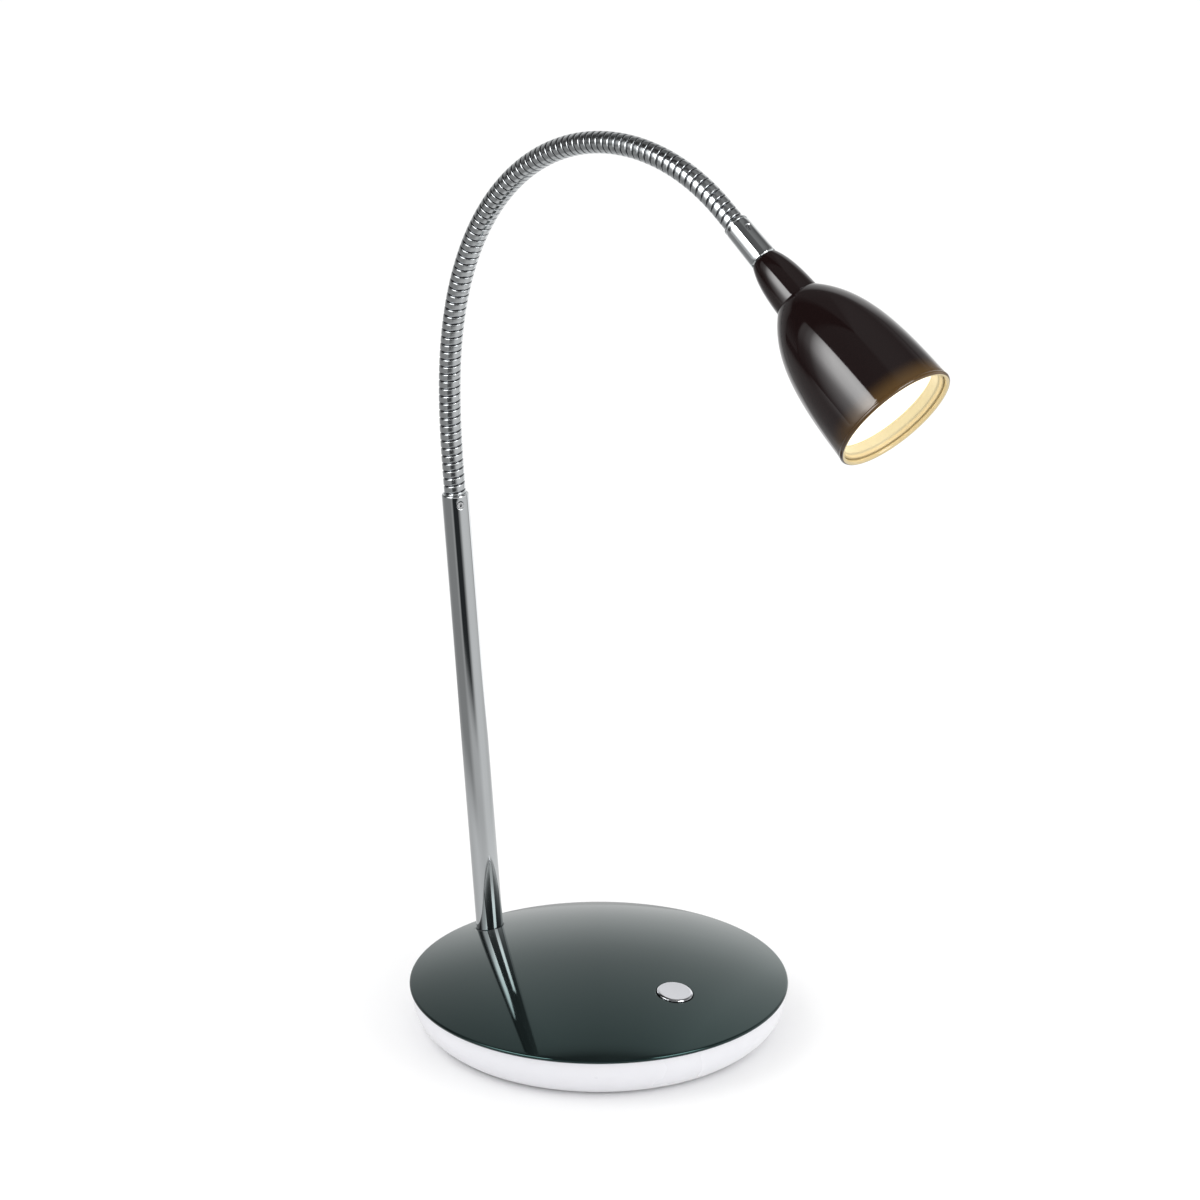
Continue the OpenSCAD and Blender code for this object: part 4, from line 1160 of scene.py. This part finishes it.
class LAMP_OT_ferrule(Operator):
    """Turn the chrome ferrule with its ring lines and drill its grub screw's hole"""

    bl_idname = "desk_lamp.ferrule"
    bl_label = "Ferrule"

    def execute(self, context):
        head = context.scene.lamp_head
        start, end = head.ferrule_radius, head.ferrule_foot_radius
        length = FERRULE_END - NECK_END

        def taper(height):
            return start + (end - start) * height / length

        line, line_depth, rounding = 0.9 * MM, 0.2 * MM, 0.16 * MM
        ring = length - 0.95 * MM
        seat, end_hole = 11 * MM, 2.9 * MM
        outline = [
            (head.ferrule_bore, 0, 0), (start - 0.3 * MM, 0, 0.1 * MM), (start, 0.35 * MM, 0.12 * MM),
            (taper(line), line, 0.08 * MM), (start - line_depth, line + 0.1 * MM, 0.05 * MM),
            (start - rounding, line + 0.35 * MM, 0), (start - rounding * 0.4, line + 0.7 * MM, 0),
            (taper(line + 1.4 * MM), line + 1.4 * MM, 0.4 * MM),
            (taper(ring - 1.4 * MM), ring - 1.4 * MM, 0.4 * MM), (end - rounding * 0.4, ring - 0.6 * MM, 0),
            (end - rounding, ring - 0.1 * MM, 0.03 * MM), (end - 0.03 * MM, ring, 0.05 * MM),
            (end, ring + 0.3 * MM, 0.08 * MM), (end - 0.4 * MM, length - 0.12 * MM, 0.1 * MM),
            (end - 0.5 * MM, length, 0), (end_hole, length, 0),
            (end_hole, seat, 0), (head.ferrule_bore, seat, 0),
        ]
        ferrule_place = HEAD @ Matrix.Translation((0, 0, NECK_END))
        bm = moved(turned(outline, steps=96), ferrule_place)
        screw = centre("ferrule_grub_screw")
        heart = HEAD @ Vector((0, 0, (HEAD.inverted() @ screw).z))
        drill = place_along(heart, screw - heart)
        bm = carved(bm, moved(countersunk_drill(1.0 * MM, start), drill))
        add_piece("ferrule_sleeve", bm, "stem_chrome", "ferrule", "head")
        return {"FINISHED"}


class LAMP_OT_collar(Operator):
    """Turn the black collar"""

    bl_idname = "desk_lamp.collar"
    bl_label = "Collar"

    def execute(self, context):
        head = context.scene.lamp_head
        length = COLLAR_END - FERRULE_END
        hole, cap = 3.1 * MM, 4 * MM

        def profile(height):
            return bell(height, length, head.ferrule_foot_radius, head.collar_radius, head.collar_flare)

        outside = [(profile(z), FERRULE_END + z, 0) for z in steps_between(0, length, 32, power=1.3)]
        inside = [
            (profile(z) - head.collar_wall, FERRULE_END + z, 0) for z in steps_between(length, cap, 12)
        ]
        outside[0] = rounded(outside[0], 0.12 * MM)
        outside[-1] = rounded(outside[-1], 0.18 * MM)
        bore = [(hole, FERRULE_END + cap, 0), (hole, FERRULE_END, 0)]
        bm = moved(turned(outside + inside + bore, steps=128), HEAD)
        add_piece("collar_cone", bm, "black_gloss", "collar", "head", paint="shade_black")
        return {"FINISHED"}


def shade_profile(head, height):
    """Outside radius of the shade at a distance from its shoulder."""
    length = SHADE_END - head.bead_radius - SHADE_START
    return bell(height, length, head.shoulder_radius, head.mouth_radius, head.shade_flare)


class LAMP_OT_shade(Operator):
    """Turn the bell shade with its rolled lip"""

    bl_idname = "desk_lamp.shade"
    bl_label = "Shade"

    def execute(self, context):
        head = context.scene.lamp_head
        wall, bead, hole = head.shade_wall, head.bead_radius, 3.1 * MM
        mouth = SHADE_END - bead
        length = mouth - SHADE_START
        ring = head.mouth_radius - bead + 0.2 * MM
        outside = [
            (shade_profile(head, z), SHADE_START + z, 0) for z in steps_between(0, length - bead, 72, power=1.5)
        ]
        outside[0] = rounded(outside[0], 0.3 * MM)
        lip = [
            (ring + math.sin(a) * bead, mouth - math.cos(a) * bead, 0)
            for a in steps_between(math.radians(35), math.radians(320), 28)
        ]
        inside = [
            (shade_profile(head, z) - wall, SHADE_START + z, 0)
            for z in reversed(steps_between(wall, length - bead, 48, power=1.5))
        ]
        crown = [(hole, SHADE_START + wall, 0), (hole, SHADE_START, 0)]
        bm = moved(turned(outside + lip + inside + crown, steps=192), HEAD)
        add_piece("shade_bell", bm, "shade_black", "shade", "head")
        return {"FINISHED"}


class LAMP_OT_light(Operator):
    """Turn the cream lining and the glowing diffuser in the mouth"""

    bl_idname = "desk_lamp.light"
    bl_label = "Lining and Diffuser"

    def execute(self, context):
        head = context.scene.lamp_head
        low, high = reach("retaining_ring", HEAD)
        wide = girth("retaining_ring", HEAD)
        wall, step = head.lining_wall, head.lining_step
        bm = turned([
            (wide - wall - step, low, 0.15 * MM), (wide, low, 0), (wide, high, 0.15 * MM),
            (wide - wall, high, 0.25 * MM), (wide - wall, high - 1.2 * MM, 0.2 * MM),
            (wide - wall - step, high - 1.7 * MM, 0.2 * MM),
        ], steps=160)
        add_piece("mouth_lining", moved(bm, HEAD), "lining_cream", "retaining_ring", "head")
        radius = girth("diffuser", HEAD)
        bulge = 0.25 * MM
        face = [(r, DIFFUSER_END - bulge * (r / radius) ** 2, 0) for r in steps_between(0, radius, 12)]
        disc = turned(face + [(radius, DIFFUSER_START, 0.2 * MM), (0, DIFFUSER_START, 0)], steps=128, closed=False)
        add_piece("diffuser_disc", moved(disc, HEAD), "diffuser_opal", "diffuser", "head")
        return {"FINISHED"}


# ---- Studio ----


class LAMP_OT_studio(Operator):
    """Lay the pale floor, fill the room with daylight and stand the panels that polished surfaces mirror"""

    bl_idname = "desk_lamp.studio"
    bl_label = "Studio"

    def execute(self, context):
        studio = context.scene.lamp_studio
        context.scene.view_settings.view_transform = "Standard"
        # A place on the floor whose +X points towards the front of the studio and +Y to its right
        front = Vector(studio.camera_place).xy.normalized()
        side = Vector((-front.y, front.x))
        self.front = Matrix((
            (front.x, side.x, 0, 0), (front.y, side.y, 0, 0), (0, 0, 1, 0), (0, 0, 0, 1)
        ))
        self.lay_floor(studio)
        self.stand_panels()
        self.fill_with_daylight(context.scene, studio)
        self.hang_light("Key Light", (-1.1, 0.9, 1.9), 1.3, studio.key_power)
        self.hang_light("Fill Light", (0.5, -1.5, 0.9), 1.2, studio.fill_power)
        return {"FINISHED"}

    def lay_floor(self, studio):
        """A white floor, which polished metal mirrors brighter on its right and dark far out in front."""
        bm = bmesh.new()
        bmesh.ops.create_circle(bm, cap_ends=True, segments=128, radius=studio.floor_radius)
        floor = loose_object("floor", bm)
        finish = Finish("Floor", Specular_IOR_Level=0.0)
        finish.surface((0.95, 0.95, 0.95), smooth=0.9, rough=1.0, patch=1.5, grain=40, contrast=0.995)
        round_stem = self.front.copy()
        round_stem.translation = STEM.translation.xy.to_3d()
        spot = finish.in_place(round_stem)
        x, y, _ = finish.split(spot)
        distance = finish.length_of(x, y)
        turn = self.turn_of(finish, spot)
        near = finish.grey_ramp(turn, (0.0, 0.8), (0.2, 0.65), (0.35, 0.78), (0.5, 0.7), (0.68, 0.95), (0.9, 0.9))
        sides = finish.grey_ramp(
            turn, (0.0, 0.6), (0.12, 0.45), (0.22, 0.33), (0.37, 0.33), (0.45, 0.6), (0.56, 0.64),
            (0.64, 0.84), (0.74, 0.82), (0.82, 0.72), (0.95, 0.85),
        )
        dark = finish.grey_ramp(turn, (0.41, 0.0), (0.44, 1.0), (0.54, 1.0), (0.6, 0.0))
        around = finish.blend(finish.fade(distance, 0.14, 0.25), near, sides)
        far = finish.grey_ramp(turn, (0.1, 1.0), (0.14, 0.05), (0.25, 0.05), (0.29, 1.0))
        lit = finish.blend(finish.fade(distance, 0.65, 2.0), around, far)
        mirrored = finish.blend(
            finish.calculate("MULTIPLY", dark, finish.fade(distance, 0.33, 0.5)), lit, (0.03, 0.033, 0.035)
        )
        glow = finish.add("ShaderNodeEmission")
        finish.join(mirrored, glow.inputs["Color"])
        self.for_mirrors(finish, finish.shader.outputs["BSDF"], glow.outputs["Emission"])
        floor.data.materials.append(finish.material)

    def turn_of(self, graph, vector):
        """Direction round the lamp as a share of a full turn: 0.25 left, 0.5 front and 0.75 right."""
        node = graph.add("ShaderNodeTexGradient", gradient_type="RADIAL")
        graph.join(vector, node.inputs["Vector"])
        return node.outputs["Fac"]

    def for_mirrors(self, graph, plain, mirrored):
        """Shows one shader to polished surfaces and another to everything else."""
        path = graph.add("ShaderNodeLightPath")
        choice = graph.add("ShaderNodeMixShader")
        graph.join(path.outputs["Is Glossy Ray"], choice.inputs["Fac"])
        graph.join(plain, choice.inputs[1])
        graph.join(mirrored, choice.inputs[2])
        end = graph.tree.nodes.get("Material Output") or graph.tree.nodes["World Output"]
        graph.join(choice.outputs["Shader"], end.inputs["Surface"])

    def glowing_panel(self, name, place, width, height, across, up, strength):
        """An upright panel at a place, across its Y axis, that only polished surfaces mirror."""
        bm = bmesh.new()
        corners = ((-width / 2, 0), (width / 2, 0), (width / 2, height), (-width / 2, height))
        bm.faces.new([bm.verts.new((0, y, z)) for y, z in corners])
        panel = loose_object(name, moved(bm, place))
        finish = Finish(name)
        _, y, z = finish.split(finish.in_place(place))
        across_panel = finish.calculate("ADD", finish.calculate("DIVIDE", y, width), 0.5)
        shade = finish.calculate(
            "MULTIPLY", finish.grey_ramp(across_panel, *across),
            finish.grey_ramp(finish.calculate("DIVIDE", z, height), *up),
        )
        glow = finish.add("ShaderNodeEmission")
        finish.join(finish.calculate("MULTIPLY", shade, strength), glow.inputs["Strength"])
        finish.join(glow.outputs["Emission"], finish.tree.nodes["Material Output"].inputs["Surface"])
        panel.data.materials.append(finish.material)
        for ray in ("camera", "diffuse", "shadow", "transmission"):
            setattr(panel, "visible_" + ray, False)

    def stand_panels(self):
        """A low card behind the lamp, which the cover mirrors, and a tall soft lamp on either side in front."""
        brighter_in_the_middle = (
            (0.0, 0.2), (0.25, 0.35), (0.3, 0.5), (0.36, 0.62), (0.43, 0.76), (0.5, 0.71), (0.55, 0.76),
            (0.6, 0.88), (0.63, 1.0), (0.72, 1.0), (0.8, 0.4), (1.0, 0.25),
        )
        dimmer_upwards = (
            (0.0, 1.0), (0.12, 0.97), (0.19, 0.88), (0.24, 0.8), (0.31, 0.74), (0.54, 0.68), (0.72, 0.63),
            (0.87, 0.56), (0.93, 0.45), (1.0, 0.16),
        )
        behind = self.front @ Matrix.Translation((-0.28, 0, 0))
        self.glowing_panel("card", behind, 1.0, 0.56, brighter_in_the_middle, dimmer_upwards, strength=1.6)

        brighter_upwards = (
            (0.0, 0.07), (0.09, 0.14), (0.15, 0.17), (0.19, 0.19), (0.27, 0.24), (0.33, 0.32), (0.43, 0.56),
            (0.52, 0.8), (0.63, 0.92), (0.74, 1.0), (0.88, 0.95), (0.96, 0.8), (0.985, 0.0),
        )
        rising_to_the_right = (
            (0.0, 0.0), (0.04, 0.05), (0.085, 0.06), (0.143, 0.06), (0.259, 0.13), (0.342, 0.45),
            (0.45, 0.85), (0.525, 1.0), (0.915, 1.0), (0.916, 0.0),
        )
        even = ((0.0, 0.0), (0.1, 1.0), (0.8, 1.0), (1.0, 0.0))
        distance, height = 1.8, 2.05
        for name, side, width, across in (
            ("left_lamp", -62, 2.7, rising_to_the_right), ("right_lamp", 52, 1.14, even),
        ):
            turn = Matrix.Rotation(math.radians(side), 4, "Z")
            place = self.front @ turn @ Matrix.Translation((distance, 0, 0))
            self.glowing_panel(name, place, width, height, across, brighter_upwards, strength=10)

    def fill_with_daylight(self, scene, studio):
        """Even white light, in place of which polished parts mirror a dim ceiling."""
        world = bpy.data.worlds.new("Daylight")
        world.use_nodes = True
        scene.world = world
        sky = Graph(world.node_tree)
        even = sky.tree.nodes["Background"]
        even.inputs["Color"].default_value = (1, 1, 1, 1)
        even.inputs["Strength"].default_value = studio.daylight
        direction = sky.placed(sky.add("ShaderNodeTexCoord").outputs["Generated"], self.front)
        up = sky.split(direction)[2]
        turn = self.turn_of(sky, direction)
        room = sky.grey_ramp(
            up, (0.0, 0.75), (0.07, 0.6), (0.12, 0.42), (0.22, 0.2), (0.34, 0.09), (0.57, 0.06),
            (0.87, 0.07), (1.0, 0.08),
        )
        right = sky.grey_ramp(
            up, (0.0, 0.65), (0.1, 0.55), (0.2, 0.4), (0.3, 0.3), (0.5, 0.14), (0.65, 0.07), (1.0, 0.15)
        )
        on_right = sky.grey_ramp(turn, (0.54, 0.0), (0.64, 1.0), (0.95, 1.0), (1.0, 0.5))
        mirrored = sky.add("ShaderNodeBackground")
        dim_left = sky.grey_ramp(turn, (0.1, 2.0), (0.14, 0.2), (0.25, 0.2), (0.28, 2.0))
        sky.join(dim_left, mirrored.inputs["Strength"])
        sky.join(sky.blend(on_right, room, right), mirrored.inputs["Color"])
        self.for_mirrors(sky, even.outputs["Background"], mirrored.outputs["Background"])

    def hang_light(self, name, spot, width, power):
        """A square soft light that points at the middle of the lamp."""
        data = bpy.data.lights.new(name, "AREA")
        data.size = width
        data.energy = power
        light = bpy.data.objects.new(name, data)
        light.location = spot
        middle = (CAD_BOUNDS[0] + CAD_BOUNDS[1]) / 2
        light.rotation_euler = (middle - Vector(spot)).to_track_quat("-Z", "Y").to_euler()
        light.visible_glossy = False
        bpy.context.scene.collection.objects.link(light)


class LAMP_PT_panel(Panel):
    """Lists the sizes, colours and steps of the lamp"""

    bl_idname = "LAMP_PT_panel"
    bl_label = "Desk Lamp"
    bl_space_type = "VIEW_3D"
    bl_region_type = "UI"
    bl_category = "Desk Lamp"

    def draw(self, context):
        layout = self.layout
        for name in SETTINGS:
            group = getattr(context.scene, name)
            box = layout.box()
            for key in group.__annotations__:
                box.prop(group, key)
        for operator in OPERATORS:
            layout.operator(operator.bl_idname)


SETTINGS = {
    "lamp_base": BaseSizes,
    "lamp_button": ButtonSizes,
    "lamp_stem": StemSizes,
    "lamp_neck": NeckSizes,
    "lamp_head": HeadSizes,
    "lamp_colours": LampColours,
    "lamp_studio": StudioSettings,
}
OPERATORS = (
    LAMP_OT_camera,
    LAMP_OT_materials,
    LAMP_OT_cover,
    LAMP_OT_shell,
    LAMP_OT_bush,
    LAMP_OT_button,
    LAMP_OT_stem,
    LAMP_OT_neck,
    LAMP_OT_ferrule,
    LAMP_OT_collar,
    LAMP_OT_shade,
    LAMP_OT_light,
    LAMP_OT_studio,
)


def register():
    for made in (*SETTINGS.values(), *OPERATORS, LAMP_PT_panel):
        bpy.utils.register_class(made)
    for name, group in SETTINGS.items():
        setattr(bpy.types.Scene, name, PointerProperty(type=group))


def unregister():
    for name in SETTINGS:
        delattr(bpy.types.Scene, name)
    for made in reversed((*SETTINGS.values(), *OPERATORS, LAMP_PT_panel)):
        bpy.utils.unregister_class(made)


def main():
    register()
    bpy.ops.desk_lamp.camera()
    bpy.ops.desk_lamp.materials()
    bpy.ops.desk_lamp.cover()
    bpy.ops.desk_lamp.shell()
    bpy.ops.desk_lamp.bush()
    bpy.ops.desk_lamp.button()
    bpy.ops.desk_lamp.stem()
    bpy.ops.desk_lamp.neck()
    bpy.ops.desk_lamp.ferrule()
    bpy.ops.desk_lamp.collar()
    bpy.ops.desk_lamp.shade()
    bpy.ops.desk_lamp.light()
    bpy.ops.desk_lamp.studio()


if __name__ == "__main__":
    main()
